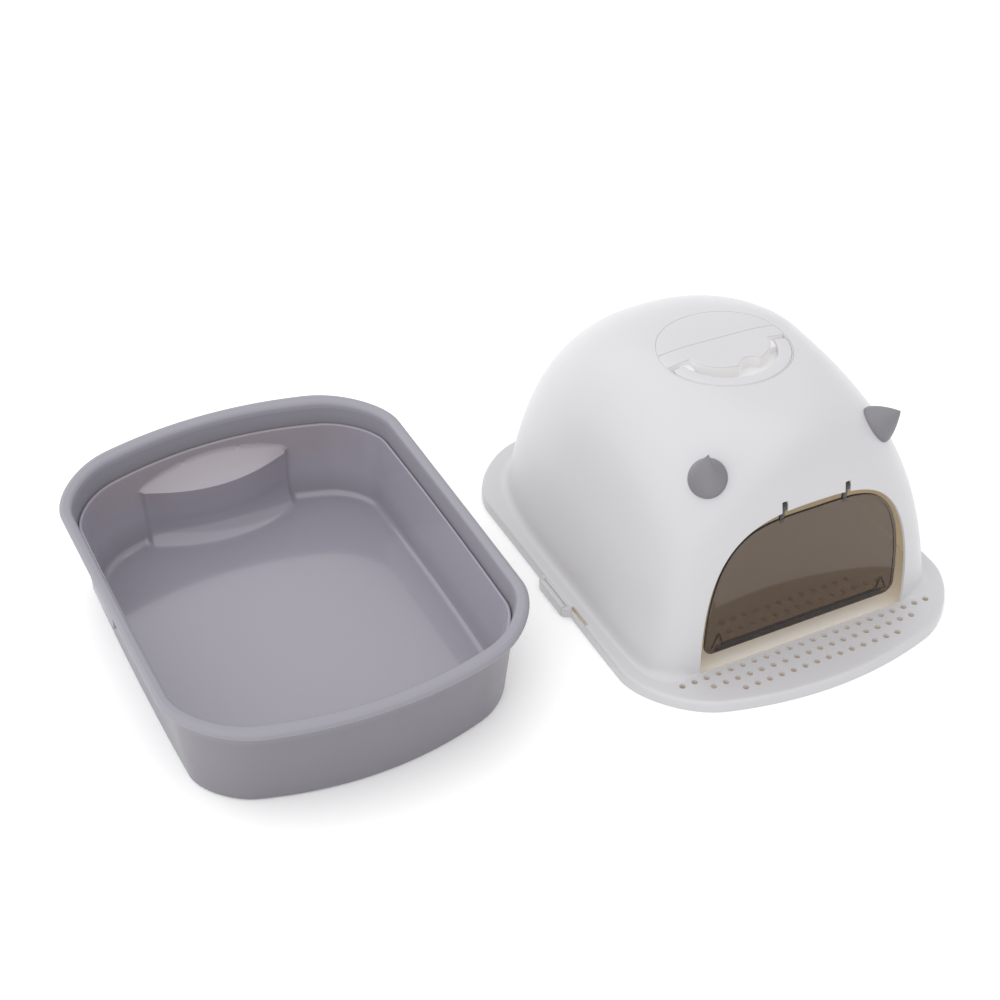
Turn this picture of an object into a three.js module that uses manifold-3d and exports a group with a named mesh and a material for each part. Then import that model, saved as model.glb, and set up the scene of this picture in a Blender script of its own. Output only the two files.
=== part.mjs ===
// Cat litter box with a hood: an outer tray, a pan nested in it, and a domed hood standing beside them.
// Millimetres, +Z up, origin on the floor under the middle of the tray, -Y is the front.
import * as THREE from 'three';
import { mergeVertices } from 'three/addons/utils/BufferGeometryUtils.js';
import Module from 'manifold-3d';

const wasm = await Module();
wasm.setup();

// ---------- driving dimensions ----------
const GAP = 0.3;                       // air between two pieces that touch
const HOOD_POSITION = [448, -65, 0];   // hood centre from the tray centre, both standing on the floor

// Plan outline shared by tray, pan and hood flange: a rounded rectangle whose short ends bow outwards by
// `bow`, and whose long sides bow outwards by `sideBow`.
// Every size of it follows from its half width.
const BASE_PLAN = { halfWidth: 161.7, halfLength: 218.6, radius: 47, bow: 38.7, sideBow: 3.4 };
const RIM_PLAN = { halfWidth: 184.9, halfLength: 248.0, radius: 74, bow: 42.2, sideBow: 0 };

const TRAY = { height: 112.5, wall: 2.8, floor: 2.5, rimDrop: 6, rimWidth: 14.5, topHalfWidth: 172.5 };
const KEEPER = { front: -20, rear: 45, bottom: 95 };
const PAN = { lipHeight: 89, lipHalfWidth: 167.0, wallHalfWidth: 163.4, footHalfWidth: 157.4, wall: 2.2 };

// Grip pocket in the rear wall: a lens in plan, its inner face an arc.
const POCKET = {
  centreX: -5, halfWidth: 74, endY: 210, middleY: 187, wall: 2.4,
  deckHeight: 17.5, skinTop: 62.4, panTop: 65.2,
};

const DOME = {
  height: 252, wall: 2.8, crestY: 24,
  halfWidth: 169.3, taper: 0.062, sideRise: 1.68, sideRound: 0.227,
  front: -180.5, frontRise: 4.15, frontRound: 0.087, frontSquareness: 9.1,
  rear: 229, rearRise: 3.26, rearRound: 0.5, rearSquareness: 3.8,
  crownSquareness: 2,
};
const FLANGE = {
  halfWidth: 187.75, halfLength: 251, radius: 72, bow: 46, sideBow: 0, centreY: 6.5, height: 12, wall: 2.5,
};
const DOOR = { halfWidth: 119.5, top: 183, bottom: 12.4, sidePower: 3, topPower: 2.75 };
const HOLES = {
  radius: 3.3, pitch: 13.7,
  rows: [{ y: -187.5, count: 22 }, { y: -201, count: 18 }, { y: -216, count: 14 }],
};
const ABOVE_CROWN = 270;               // cutters that come from above start at this height

const FLAP = {
  halfWidth: 111.5, top: 171.5, bottom: 24, sidePower: 4.2, topPower: 2.76,
  cornerRadius: 12, thickness: 2, planeY: -170,
  barInset: 18, barDepth: 2.4, barFoot: 3, barHead: 9,
};
const HINGE = {
  x: 35.5, y: -170, z: 187, pinRadius: 1.5, pinLength: 13.6, lugWidth: 5, eyeRadius: 3.8, lugAir: 0.6,
  notchFront: 14, notchBelow: 10, notchAbove: 4.6,
  bossFront: 4.5, bossBack: 3.4, bossBelow: 3.6, bossAbove: 4,
  finFront: 4.2, finBelow: 4.5, finAbove: 0.6, armFront: 1.2, armBack: 1.6, armFoot: 6,
};

const SEAT = {
  y: 1.2, radius: 68.1, bottom: 229, floorTop: 238.8, floor: 2.6, edgeWall: 1.3, pocketBackY: -2.6,
  rearCeiling: 243.5,
};
const ISLAND = { x: 3, y: 1, halfWidth: 45, depth: 35, notchX: 10, notchRadius: 13 };
const BAIL = {
  outer: 66.4, inner: 53, halfWidth: 64.2, bottom: 240, backY: -8.6, pivotY: -10.6, pivotZ: 243.4,
  knuckle: 4.4, knuckleFrom: 54.2, knuckleTo: 64, pinRadius: 1.9, pinX: 58.2, pinLength: 17,
};
// Lugs of the seat that hold the bail's pins.
const BAIL_LUG = { from: 42, to: 53.2, front: 4, abovePivot: 3, air: 0.6 };

const EAR = {
  x: 95.6, y: -129.5, radius: 19.4, height: 27, tipRadius: 0.4,
  stemRadius: 5, stemLength: 12, ringRadius: 11, ringGap: 3.8,
};
// How far each ear's tip leans up the slope and across it, and how late in its height it starts to.
const EAR_LEAN = {
  left: { up: 20, across: 2.4, onset: 2.5 },
  right: { up: -1.4, across: 0, onset: 2 },
};

const LATCH = {
  centreY: -9, length: 47, pinX: 192.6, pinZ: 8.6, outerX: 195.8, topZ: 12, bottomZ: 0.6, pinRadius: 1.2,
  toothX: 182.6, toothTop: 3.2, toothInset: 4, eyeRadius: 3.6, cheek: 3.5, cheekOut: 2.4, endAir: 0.5,
};
const PRY_SLOT = { length: 31.5, from: 4.5, depth: 4.6, bottom: 8.2 };

// ---------- materials ----------
const finish = (color, roughness, extra = {}) =>
  new THREE.MeshStandardMaterial({ color, roughness, metalness: 0, ...extra });
const LILAC_GREY = finish(0xa7a4ac, 0.42);
const PAN_GREY = finish(0x9a96a1, 0.35);
const WHITE_PLASTIC = finish(0xe4e3e7, 0.38);
const EAR_GREY = finish(0x8e8b93, 0.55);
const SMOKED_CLEAR = finish(0x5a4d43, 0.12, { transparent: true, opacity: 0.75 });
const PIN_PLASTIC = finish(0xd8d7da, 0.45);

// ---------- solids ----------
function toSolid(geometry) {
  geometry.deleteAttribute('normal');
  geometry.deleteAttribute('uv');
  const merged = mergeVertices(geometry, 1e-4);
  return new wasm.Manifold(new wasm.Mesh({
    numProp: 3,
    vertProperties: Float32Array.from(merged.attributes.position.array),
    triVerts: Uint32Array.from(merged.index.array),
  }));
}

function toGeometry(solid) {
  const mesh = solid.getMesh();
  const geometry = new THREE.BufferGeometry();
  geometry.setAttribute('position', new THREE.BufferAttribute(Float32Array.from(mesh.vertProperties), 3));
  geometry.setIndex(new THREE.BufferAttribute(Uint32Array.from(mesh.triVerts), 1));
  geometry.computeVertexNormals();
  return geometry;
}

// Skin over a stack of rings with the same number of points, closed by a fan at each end.
// Rings run counter-clockwise seen from +Z and rise from the first to the last.
function loft(rings) {
  const count = rings[0].length;
  const positions = rings.flat().flatMap((p) => p.toArray());
  const middle = (ring) => ring.reduce((sum, p) => sum.add(p), new THREE.Vector3()).divideScalar(count);
  positions.push(...middle(rings[0]).toArray(), ...middle(rings.at(-1)).toArray());
  const bottom = rings.length * count;
  const top = bottom + 1;
  const indices = [];
  for (let i = 0; i < count; i += 1) {
    const j = (i + 1) % count;
    indices.push(bottom, j, i, top, (rings.length - 1) * count + i, (rings.length - 1) * count + j);
    for (let k = 0; k + 1 < rings.length; k += 1) {
      const a = k * count;
      const b = a + count;
      indices.push(a + i, a + j, b + j, a + i, b + j, b + i);
    }
  }
  const geometry = new THREE.BufferGeometry();
  geometry.setAttribute('position', new THREE.Float32BufferAttribute(positions, 3));
  geometry.setIndex(indices);
  return toSolid(geometry);
}

function box(xRange, yRange, zRange) {
  const size = [xRange, yRange, zRange].map(([low, high]) => high - low);
  const centre = [xRange, yRange, zRange].map(([low, high]) => (high + low) / 2);
  return toSolid(new THREE.BoxGeometry(...size).translate(...centre));
}

// Upright cylinder from z0 to z1.
function drum(radius, x, y, z0, z1, sides = 48) {
  const geometry = new THREE.CylinderGeometry(radius, radius, z1 - z0, sides);
  return toSolid(geometry.rotateX(Math.PI / 2).translate(x, y, (z0 + z1) / 2));
}

// Cylinder lying along X or Y.
function rod(axis, radius, centre, length, sides = 16) {
  const geometry = new THREE.CylinderGeometry(radius, radius, length, sides);
  if (axis === 'x') geometry.rotateZ(Math.PI / 2);
  return toSolid(geometry.translate(...centre));
}

function prism(shape, z0, z1, curveSegments = 12) {
  const geometry = new THREE.ExtrudeGeometry(shape, { depth: z1 - z0, bevelEnabled: false, curveSegments });
  return toSolid(geometry.translate(0, 0, z0));
}

// Shape drawn in X and Z, pushed through from y0 back to y1.
function frontPrism(shape, y0, y1, curveSegments = 12) {
  const geometry = new THREE.ExtrudeGeometry(shape, { depth: y1 - y0, bevelEnabled: false, curveSegments });
  return toSolid(geometry.rotateX(Math.PI / 2).translate(0, y1, 0));
}

const mirrorX = (solid) => solid.mirror([1, 0, 0]);

// ---------- plan outlines ----------
function planFor(halfWidth) {
  const s = (halfWidth - BASE_PLAN.halfWidth) / (RIM_PLAN.halfWidth - BASE_PLAN.halfWidth);
  const at = (key) => BASE_PLAN[key] + s * (RIM_PLAN[key] - BASE_PLAN[key]);
  const radius = Math.max(at('radius'), 12);
  return { halfWidth, halfLength: at('halfLength'), radius, bow: at('bow'), sideBow: at('sideBow') };
}

// Points of a plan outline at height z: four quarter circles joined by sides; then the short ends are bowed
// by pulling each point's y in by the square of its x, and the long sides by the square of its y.
function planRing(plan, z, centreY = 0) {
  const { halfWidth, halfLength, radius, bow, sideBow } = plan;
  const cornerSteps = 8;
  const points = [];
  const addSide = (from, to, steps) => {
    for (let i = 1; i < steps; i += 1) points.push(from.clone().lerp(to, i / steps));
  };
  const corners = [[1, 1, 0], [-1, 1, 90], [-1, -1, 180], [1, -1, 270]].map(([sx, sy, start]) => {
    const arc = [];
    for (let i = 0; i <= cornerSteps; i += 1) {
      const angle = THREE.MathUtils.degToRad(start + (90 * i) / cornerSteps);
      arc.push(new THREE.Vector2(
        sx * (halfWidth - radius) + radius * Math.cos(angle),
        sy * (halfLength - radius) + radius * Math.sin(angle),
      ));
    }
    return arc;
  });
  corners.forEach((arc, i) => {
    points.push(...arc);
    addSide(arc.at(-1), corners[(i + 1) % 4][0], i % 2 === 0 ? 8 : 4);
  });
  return points.map((p) => {
    const pulledY = p.y * (1 - (bow / halfLength) * (p.x / halfWidth) ** 2);
    const pushedX = p.x * (1 + (sideBow / halfWidth) * (1 - (p.y / halfLength) ** 2));
    return new THREE.Vector3(pushedX, pulledY + centreY, z);
  });
}

const traySection = (section) => loft(section.map(([halfWidth, z]) => planRing(planFor(halfWidth), z)));

// ---------- rear grip pocket ----------
// Lens-shaped column whose inner face is an arc, grown inwards and sideways by `grow`.
function pocketColumn(grow, z0, z1) {
  const { centreX, halfWidth, endY, middleY } = POCKET;
  const beyondRear = 260;
  const shape = new THREE.Shape();
  shape.moveTo(centreX + halfWidth + grow, beyondRear);
  shape.lineTo(centreX - halfWidth - grow, beyondRear);
  shape.lineTo(centreX - halfWidth - grow, endY - grow);
  const control = 2 * (middleY - grow) - (endY - grow);
  shape.quadraticCurveTo(centreX, control, centreX + halfWidth + grow, endY - grow);
  return prism(shape, z0, z1, 10);
}

// ---------- tray ----------
function buildTray() {
  const { height, floor, wall, rimDrop, rimWidth, topHalfWidth } = TRAY;
  const rim = RIM_PLAN.halfWidth;
  const underRim = height - rimDrop;
  const outside = traySection([
    [BASE_PLAN.halfWidth - 6, 0], [BASE_PLAN.halfWidth - 1.5, 1.6], [BASE_PLAN.halfWidth, 6],
    [topHalfWidth, underRim - 1], [rim - 1.2, underRim], [rim, underRim + 1.8], [rim - 0.8, height - 2],
    [rim - 3.5, height - 0.4], [rim - 6.5, height], [rim - rimWidth + 3, height - 0.6],
    [rim - rimWidth, height - 3],
  ]);
  const inside = traySection([
    [BASE_PLAN.halfWidth - wall - 5, floor], [BASE_PLAN.halfWidth - wall, 8],
    [rim - rimWidth - 1, height - 8], [rim - rimWidth, height - 3], [rim - rimWidth, height + 2],
  ]);
  const { wall: skin, skinTop, deckHeight } = POCKET;
  const innerSkin = pocketColumn(skin, 0, skinTop).intersect(outside);
  const fingerSpace = pocketColumn(0, deckHeight + skin, skinTop - skin);
  const underside = pocketColumn(0, -1, deckHeight);
  const { front, rear, bottom } = KEEPER;
  const keeperBlock = box([topHalfWidth - 3, rim - 0.6], [front, rear], [bottom, underRim + 1]);
  const keepers = keeperBlock.add(mirrorX(keeperBlock));
  const shell = outside.subtract(inside).add(innerSkin).add(keepers.subtract(inside));
  return shell.subtract(fingerSpace).subtract(underside);
}

// ---------- inner pan ----------
function buildPan() {
  const { lipHeight, lipHalfWidth, wallHalfWidth, footHalfWidth, wall } = PAN;
  const seatZ = TRAY.floor + GAP;
  const outside = traySection([
    [footHalfWidth - 6, seatZ], [footHalfWidth - 3.2, seatZ + 1.7], [footHalfWidth, seatZ + 6],
    [wallHalfWidth, lipHeight - 3.2], [lipHalfWidth - 0.6, lipHeight - 2.4], [lipHalfWidth, lipHeight - 1],
    [lipHalfWidth - 1, lipHeight],
  ]);
  const inside = traySection([
    [footHalfWidth - wall - 8, seatZ + wall], [footHalfWidth - wall - 2, seatZ + 5],
    [footHalfWidth - wall, seatZ + 11], [wallHalfWidth - wall, lipHeight - 1.2],
    [wallHalfWidth - wall + 1, lipHeight + 1],
  ]);
  const { wall: skin, skinTop, panTop } = POCKET;
  const air = 0.5;
  const clearance = pocketColumn(skin + air, 0, skinTop + air);
  const bulge = pocketColumn(skin + wall + air, 0, panTop).intersect(outside);
  return outside.subtract(inside).add(bulge).subtract(clearance);
}

// ---------- dome ----------
// Half width, front reach, rear reach and squareness of the level curve at height fraction t, for a skin
// that lies `inset` inside the outer one.
function domeLevel(t, inset) {
  const d = DOME;
  const bulge = (rise, round) => Math.max(1 - t ** rise, 0) ** round;
  return {
    halfWidth: Math.max(d.halfWidth * bulge(d.sideRise, d.sideRound) * (1 - d.taper * t) - inset, 0.01),
    front: Math.max((d.crestY - d.front) * bulge(d.frontRise, d.frontRound) - inset, 0.01),
    rear: Math.max((d.rear - d.crestY) * bulge(d.rearRise, d.rearRound) - inset, 0.01),
    frontPower: d.frontSquareness + (d.crownSquareness - d.frontSquareness) * t,
    rearPower: d.rearSquareness + (d.crownSquareness - d.rearSquareness) * t,
  };
}

function domeRing(t, inset, z, sides) {
  const level = domeLevel(t, inset);
  const ring = [];
  for (let i = 0; i < sides; i += 1) {
    const angle = (2 * Math.PI * i) / sides;
    const c = Math.cos(angle) * level.halfWidth;
    const reach = Math.sin(angle) < 0 ? level.front : level.rear;
    const power = Math.sin(angle) < 0 ? level.frontPower : level.rearPower;
    const s = Math.sin(angle) * reach;
    const size = (Math.abs(c / level.halfWidth) ** power + Math.abs(s / reach) ** power) ** (-1 / power);
    ring.push(new THREE.Vector3(c * size, DOME.crestY + s * size, z));
  }
  return ring;
}

function domeSolid(inset, fromZ, sides, levels) {
  const top = DOME.height - inset;
  const first = fromZ / DOME.height;
  const rings = [];
  for (let i = 0; i < levels; i += 1) {
    const crowded = 1 - (1 - i / levels) ** 2.6;
    const t = first + (1 - first) * crowded;
    rings.push(domeRing(t, inset, fromZ + (top - fromZ) * crowded, sides));
  }
  const nearlyClosed = 0.9995;
  rings.push(domeRing(nearlyClosed, inset, top, sides));
  return loft(rings);
}

// Point on the outer skin at plan position (x, y) and the unit normal there.
function domePoint(x, y) {
  const heightAt = (px, py) => {
    let low = 0;
    let high = 1;
    for (let i = 0; i < 40; i += 1) {
      const t = (low + high) / 2;
      const level = domeLevel(t, 0);
      const power = py < DOME.crestY ? level.frontPower : level.rearPower;
      const reach = py < DOME.crestY ? level.front : level.rear;
      const size = Math.abs(px / level.halfWidth) ** power + Math.abs((py - DOME.crestY) / reach) ** power;
      if (size < 1) low = t;
      else high = t;
    }
    return low * DOME.height;
  };
  const z = heightAt(x, y);
  const normal = new THREE.Vector3(z - heightAt(x + 1, y), z - heightAt(x, y + 1), 1).normalize();
  return { point: new THREE.Vector3(x, y, z), normal };
}

const domeOuter = domeSolid(0, 9, 52, 13);

// Arch of the doorway or of the flap: |x/a|^sidePower + |z/h|^topPower = 1 above the given floor line.
function archShape({ halfWidth, top, bottom, sidePower, topPower, cornerRadius = 0 }) {
  const base = FLANGE.height;
  const steps = 26;
  const shape = new THREE.Shape();
  const points = [];
  for (let i = 0; i <= steps; i += 1) {
    const angle = (Math.PI * i) / steps;
    const side = Math.abs(Math.cos(angle)) ** (2 / sidePower);
    const rise = Math.sin(angle) ** (2 / topPower);
    points.push(new THREE.Vector2(Math.sign(Math.cos(angle)) * halfWidth * side, base + (top - base) * rise));
  }
  const above = points.filter((p) => p.y > bottom + cornerRadius);
  shape.moveTo(-halfWidth + cornerRadius, bottom);
  shape.lineTo(halfWidth - cornerRadius, bottom);
  if (cornerRadius > 0) {
    shape.quadraticCurveTo(halfWidth, bottom, halfWidth, bottom + cornerRadius);
  }
  above.forEach((p) => shape.lineTo(p.x, p.y));
  if (cornerRadius > 0) {
    shape.lineTo(-halfWidth, bottom + cornerRadius);
    shape.quadraticCurveTo(-halfWidth, bottom, -halfWidth + cornerRadius, bottom);
  }
  return shape;
}

// ---------- hood shell ----------
function buildFlange() {
  const { halfWidth, halfLength, radius, bow, sideBow, centreY, height, wall } = FLANGE;
  const ring = (inset, z) => planRing({
    halfWidth: halfWidth - inset, halfLength: halfLength - inset, radius: radius - inset, bow, sideBow,
  }, z, centreY);
  const outside = loft([ring(0, 0), ring(0, height - 4), ring(1.2, height - 1.2), ring(4, height)]);
  const underneath = loft([ring(wall, -1), ring(wall, height - wall - 1.5), ring(wall + 2, height - wall)]);
  return { outside, underneath };
}

function pedalHoles() {
  const { radius, pitch, rows } = HOLES;
  const cutters = rows.flatMap(({ y, count }) => Array.from({ length: count }, (_, i) =>
    drum(radius, (i - (count - 1) / 2) * pitch, y, -1, FLANGE.height + 1, 6)));
  return wasm.Manifold.union(cutters);
}

function hingeBosses() {
  const { x, y, z, lugWidth, lugAir, pinLength, bossFront, bossBack, bossBelow, bossAbove } = HINGE;
  const inner = lugWidth / 2 + lugAir;
  const outer = pinLength / 2 + 0.2;
  const blocks = [x, -x].flatMap((centre) => [1, -1].map((side) => {
    const range = [centre + side * inner, centre + side * outer].sort((a, b) => a - b);
    return box(range, [y - bossFront, y + bossBack], [z - bossBelow, z + bossAbove]);
  }));
  return wasm.Manifold.union(blocks);
}

function buildHoodShell() {
  const { outside, underneath } = buildFlange();
  const cavity = domeSolid(DOME.wall, 4, 40, 10);
  const doorway = frontPrism(archShape(DOOR), -215, -140);
  const { x, y, z, lugWidth, lugAir, pinRadius, notchFront, notchBelow, notchAbove } = HINGE;
  const notchHalf = lugWidth / 2 + lugAir;
  const notch = (centre) => box(
    [centre - notchHalf, centre + notchHalf], [y - notchFront, y + 1], [z - notchBelow, z + notchAbove],
  );
  const pinBores = [x, -x].map((centre) => rod('x', pinRadius + GAP, [centre, y, z], 30));
  const seatHole = drum(SEAT.radius + GAP, 0, SEAT.y, 200, ABOVE_CROWN, 44);

  let shell = outside.subtract(underneath).add(domeOuter).subtract(cavity).add(hingeBosses());
  shell = shell.subtract(doorway).subtract(notch(x)).subtract(notch(-x)).subtract(pedalHoles());
  shell = shell.subtract(wasm.Manifold.union(pinBores)).subtract(seatHole);
  for (const side of [-1, 1]) {
    const { normal, point } = earSocket(side);
    const bore = new THREE.CylinderGeometry(EAR.stemRadius + 0.4, EAR.stemRadius + 0.4, 40, 16);
    bore.applyQuaternion(new THREE.Quaternion().setFromUnitVectors(new THREE.Vector3(0, 1, 0), normal));
    shell = shell.subtract(toSolid(bore.translate(...point.toArray())));
  }
  return cutLatchSeats(shell);
}

// Cheeks that carry each latch's pin, the window its tooth passes through, and the pry slot beside it.
function cutLatchSeats(shell) {
  const { centreY, length, pinX, pinZ, pinRadius, toothTop, toothInset, cheek, cheekOut, endAir } = LATCH;
  const half = length / 2;
  const near = half + endAir;
  const skirtX = FLANGE.halfWidth;
  const cheekAt = (from) =>
    box([skirtX - 1.5, pinX + cheekOut], [from, from + cheek], [1, FLANGE.height - 0.6]);
  const cheeks = cheekAt(centreY + near).add(cheekAt(centreY - near - cheek));
  const bore = rod('y', pinRadius + GAP, [pinX, centreY, pinZ], length + 20);
  const reach = half - toothInset + 1;
  const window = box([skirtX - 6, skirtX + 0.5], [centreY - reach, centreY + reach], [-1, toothTop + 1.8]);
  const slotEnd = centreY - half - PRY_SLOT.from;
  const prySlot = box(
    [skirtX - PRY_SLOT.depth, skirtX + 1], [slotEnd - PRY_SLOT.length, slotEnd],
    [PRY_SLOT.bottom, FLANGE.height + 1],
  );
  const right = shell.add(cheeks).add(mirrorX(cheeks));
  const cuts = wasm.Manifold.union([bore, window, prySlot]);
  return right.subtract(cuts).subtract(mirrorX(cuts));
}

// ---------- handle seat and carry handle ----------
const crownDrum = (radius, from) => drum(radius, 0, SEAT.y, from, ABOVE_CROWN, 44).intersect(domeOuter);

// Rounded island inside the recess, with a finger notch in its front edge.
function islandPrism(inset, z0, z1) {
  const { x, y, halfWidth, depth, notchX, notchRadius } = ISLAND;
  const shape = new THREE.Shape();
  shape.moveTo(x + halfWidth - inset, y + 4);
  shape.absellipse(x, y, halfWidth - inset, depth - inset, 0, -Math.PI, true, 0);
  shape.lineTo(x - halfWidth + inset, y + 4);
  const notch = drum(notchRadius + inset, notchX, y - depth - 3, z0 - 1, z1 + 1, 20);
  return prism(shape, z0, z1, 12).subtract(notch);
}

function buildSeat() {
  const { radius, bottom, floorTop, floor, edgeWall, pocketBackY, rearCeiling, y } = SEAT;
  const disc = crownDrum(radius, bottom);
  const beyond = radius + 10;
  const frontHalf = box([-beyond, beyond], [-beyond, pocketBackY], [floorTop, ABOVE_CROWN]);
  const island = islandPrism(0, floorTop - 2, ABOVE_CROWN);
  const frontDisc = drum(radius - edgeWall, 0, y, floorTop, ABOVE_CROWN, 44).intersect(frontHalf);
  const recess = frontDisc.subtract(island);
  const hollow = (top) => drum(radius - floor, 0, y, bottom - 5, top, 32);
  const below = hollow(floorTop - floor);
  const rearHalf = box([-beyond, beyond], [2, beyond], [bottom - 5, rearCeiling]);
  const rearBelow = hollow(rearCeiling).intersect(rearHalf);
  const { pivotY, pivotZ, pinRadius, pinX, pinLength } = BAIL;
  const { from, to, front, abovePivot } = BAIL_LUG;
  const lug = box([from, to], [pivotY - front, pocketBackY + 1], [floorTop - 1, pivotZ + abovePivot]);
  const lugs = lug.add(mirrorX(lug));
  const bore = rod('x', pinRadius + GAP, [pinX, pivotY, pivotZ], pinLength + 0.6);
  const bores = bore.add(mirrorX(bore));
  return disc.subtract(recess).subtract(below).subtract(rearBelow).add(lugs).subtract(bores);
}

function buildBail() {
  const { outer, inner, halfWidth, bottom, backY, pivotY, pivotZ } = BAIL;
  const { knuckle, knuckleFrom, knuckleTo, pinRadius, pinX } = BAIL;
  const band = crownDrum(outer, bottom)
    .subtract(drum(inner, 0, SEAT.y, bottom - 1, ABOVE_CROWN, 36))
    .intersect(box([-halfWidth, halfWidth], [-outer, backY], [bottom - 1, ABOVE_CROWN]));
  const knuckleX = (knuckleFrom + knuckleTo) / 2;
  const eye = rod('x', knuckle, [knuckleX, pivotY, pivotZ], knuckleTo - knuckleFrom, 24);
  const { from, to, front, air } = BAIL_LUG;
  const lugClearance = box([from - 2, to + air], [pivotY - front - 1, 0], [bottom - 1, ABOVE_CROWN]);
  const bore = rod('x', pinRadius + GAP, [pinX, pivotY, pivotZ], 30);
  return band.subtract(lugClearance).subtract(mirrorX(lugClearance))
    .add(eye).add(mirrorX(eye)).subtract(bore).subtract(mirrorX(bore));
}

const bailPin = (side) =>
  rod('x', BAIL.pinRadius, [side * BAIL.pinX, BAIL.pivotY, BAIL.pivotZ], BAIL.pinLength, 16);

// ---------- ears ----------
function earSocket(side) {
  return domePoint(side * EAR.x, EAR.y);
}

// Round base shrinking to a blunt tip, carried along the skin's normal and leaning up the slope.
function buildEar(side) {
  const { point, normal } = earSocket(side);
  const lean = side < 0 ? EAR_LEAN.left : EAR_LEAN.right;
  const sides = 18;
  const up = new THREE.Vector3(0, 0, 1);
  const slope = up.clone().addScaledVector(normal, -up.dot(normal)).normalize();
  const across = new THREE.Vector3().crossVectors(slope, normal);
  const ringAt = (distance, radius, leaning = 0) => {
    const centre = point.clone().addScaledVector(normal, distance)
      .addScaledVector(slope, lean.up * leaning).addScaledVector(across, lean.across * leaning);
    return Array.from({ length: sides }, (_, i) => {
      const angle = (2 * Math.PI * i) / sides;
      return centre.clone()
        .addScaledVector(across, radius * Math.cos(angle))
        .addScaledVector(slope, radius * Math.sin(angle));
    });
  };
  const rings = [ringAt(-7, EAR.radius), ringAt(0, EAR.radius)];
  const levels = 7;
  for (let i = 1; i <= levels; i += 1) {
    const tau = 1 - (1 - i / levels) ** 1.4;
    const radius = EAR.radius * Math.max(1 - tau ** 1.5, 0) ** 0.8 + EAR.tipRadius;
    rings.push(ringAt(EAR.height * tau, radius, tau ** lean.onset));
  }
  const skinClearance = domeSolid(-GAP, 60, 52, 12);
  const stem = loft([ringAt(-EAR.stemLength, EAR.stemRadius), ringAt(6, EAR.stemRadius)]);
  return loft(rings).subtract(skinClearance).add(stem);
}

// Push-on ring that holds the ear's stem from inside.
function earRing(side) {
  const { point, normal } = earSocket(side);
  const { stemRadius, ringRadius, ringGap } = EAR;
  const depth = DOME.wall + ringGap;
  const bore = stemRadius + GAP;
  const profile = [
    [bore, -depth - 3], [ringRadius, -depth - 3], [ringRadius, -depth], [bore, -depth], [bore, -depth - 3],
  ].map(([r, h]) => new THREE.Vector2(r, h));
  const geometry = new THREE.LatheGeometry(profile, 24);
  geometry.applyQuaternion(new THREE.Quaternion().setFromUnitVectors(new THREE.Vector3(0, 1, 0), normal));
  return toSolid(geometry.translate(...point.toArray()));
}

// ---------- flap ----------
function buildFlap() {
  const { halfWidth, top, bottom, thickness, planeY, barInset, barDepth, barFoot, barHead } = FLAP;
  const { x, y, z, lugWidth, eyeRadius, pinRadius } = HINGE;
  const { finFront, finBelow, finAbove, armFront, armBack, armFoot } = HINGE;
  const panel = frontPrism(archShape(FLAP), planeY - thickness / 2, planeY + thickness / 2);
  const barEnd = halfWidth - barInset;
  const bar = box([-barEnd, barEnd], [planeY - barDepth, planeY], [bottom + barFoot, bottom + barHead]);
  const lug = (centre) => {
    const range = [centre - lugWidth / 2, centre + lugWidth / 2];
    const eye = rod('x', eyeRadius, [centre, y, z], lugWidth, 20);
    const arm = box(range, [y - armFront, y + armBack], [top - armFoot, z - 1]);
    const fin = box(range, [y - finFront, y], [z - finBelow, z + finAbove]);
    return eye.add(arm).add(fin).subtract(rod('x', pinRadius + GAP, [centre, y, z], lugWidth + 2, 16));
  };
  return panel.add(bar).add(lug(x)).add(lug(-x));
}

const flapPin = (side) => rod('x', HINGE.pinRadius, [side * HINGE.x, HINGE.y, HINGE.z], HINGE.pinLength, 16);

// ---------- side latches ----------
// Clip with its pin near the top and a tooth at the bottom that reaches under the tray rim.
function buildLatch() {
  const { centreY, length, pinX, pinZ, outerX, topZ, bottomZ, pinRadius, eyeRadius } = LATCH;
  const { toothX, toothTop, toothInset } = LATCH;
  const shape = new THREE.Shape();
  shape.moveTo(pinX - eyeRadius, bottomZ);
  shape.lineTo(outerX - 1, bottomZ);
  shape.lineTo(outerX, bottomZ + 1);
  shape.lineTo(outerX, topZ - 1.2);
  shape.lineTo(outerX - 1.2, topZ - 0.2);
  shape.lineTo(pinX, pinZ + eyeRadius - 0.4);
  shape.absarc(pinX, pinZ, eyeRadius - 0.2, Math.PI / 2, Math.PI, false);
  const body = frontPrism(shape, centreY - length / 2, centreY + length / 2, 6);
  const reach = length / 2 - toothInset;
  const tooth = box([toothX, pinX - eyeRadius + 1], [centreY - reach, centreY + reach], [bottomZ, toothTop]);
  return body.add(tooth).subtract(rod('y', pinRadius + GAP, [pinX, centreY, pinZ], length + 2, 16));
}

const latchPin = () => {
  const { pinX, centreY, pinZ, pinRadius, length, cheek } = LATCH;
  return rod('y', pinRadius, [pinX, centreY, pinZ], length + 2 * cheek, 12);
};

// ---------- assembly ----------
function node(name, solid, material) {
  const mesh = new THREE.Mesh(toGeometry(solid), material.clone());
  mesh.name = name;
  return mesh;
}

const litterBox = new THREE.Group();
litterBox.add(node('tray', buildTray(), LILAC_GREY));
litterBox.add(node('inner_pan', buildPan(), PAN_GREY));

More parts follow.
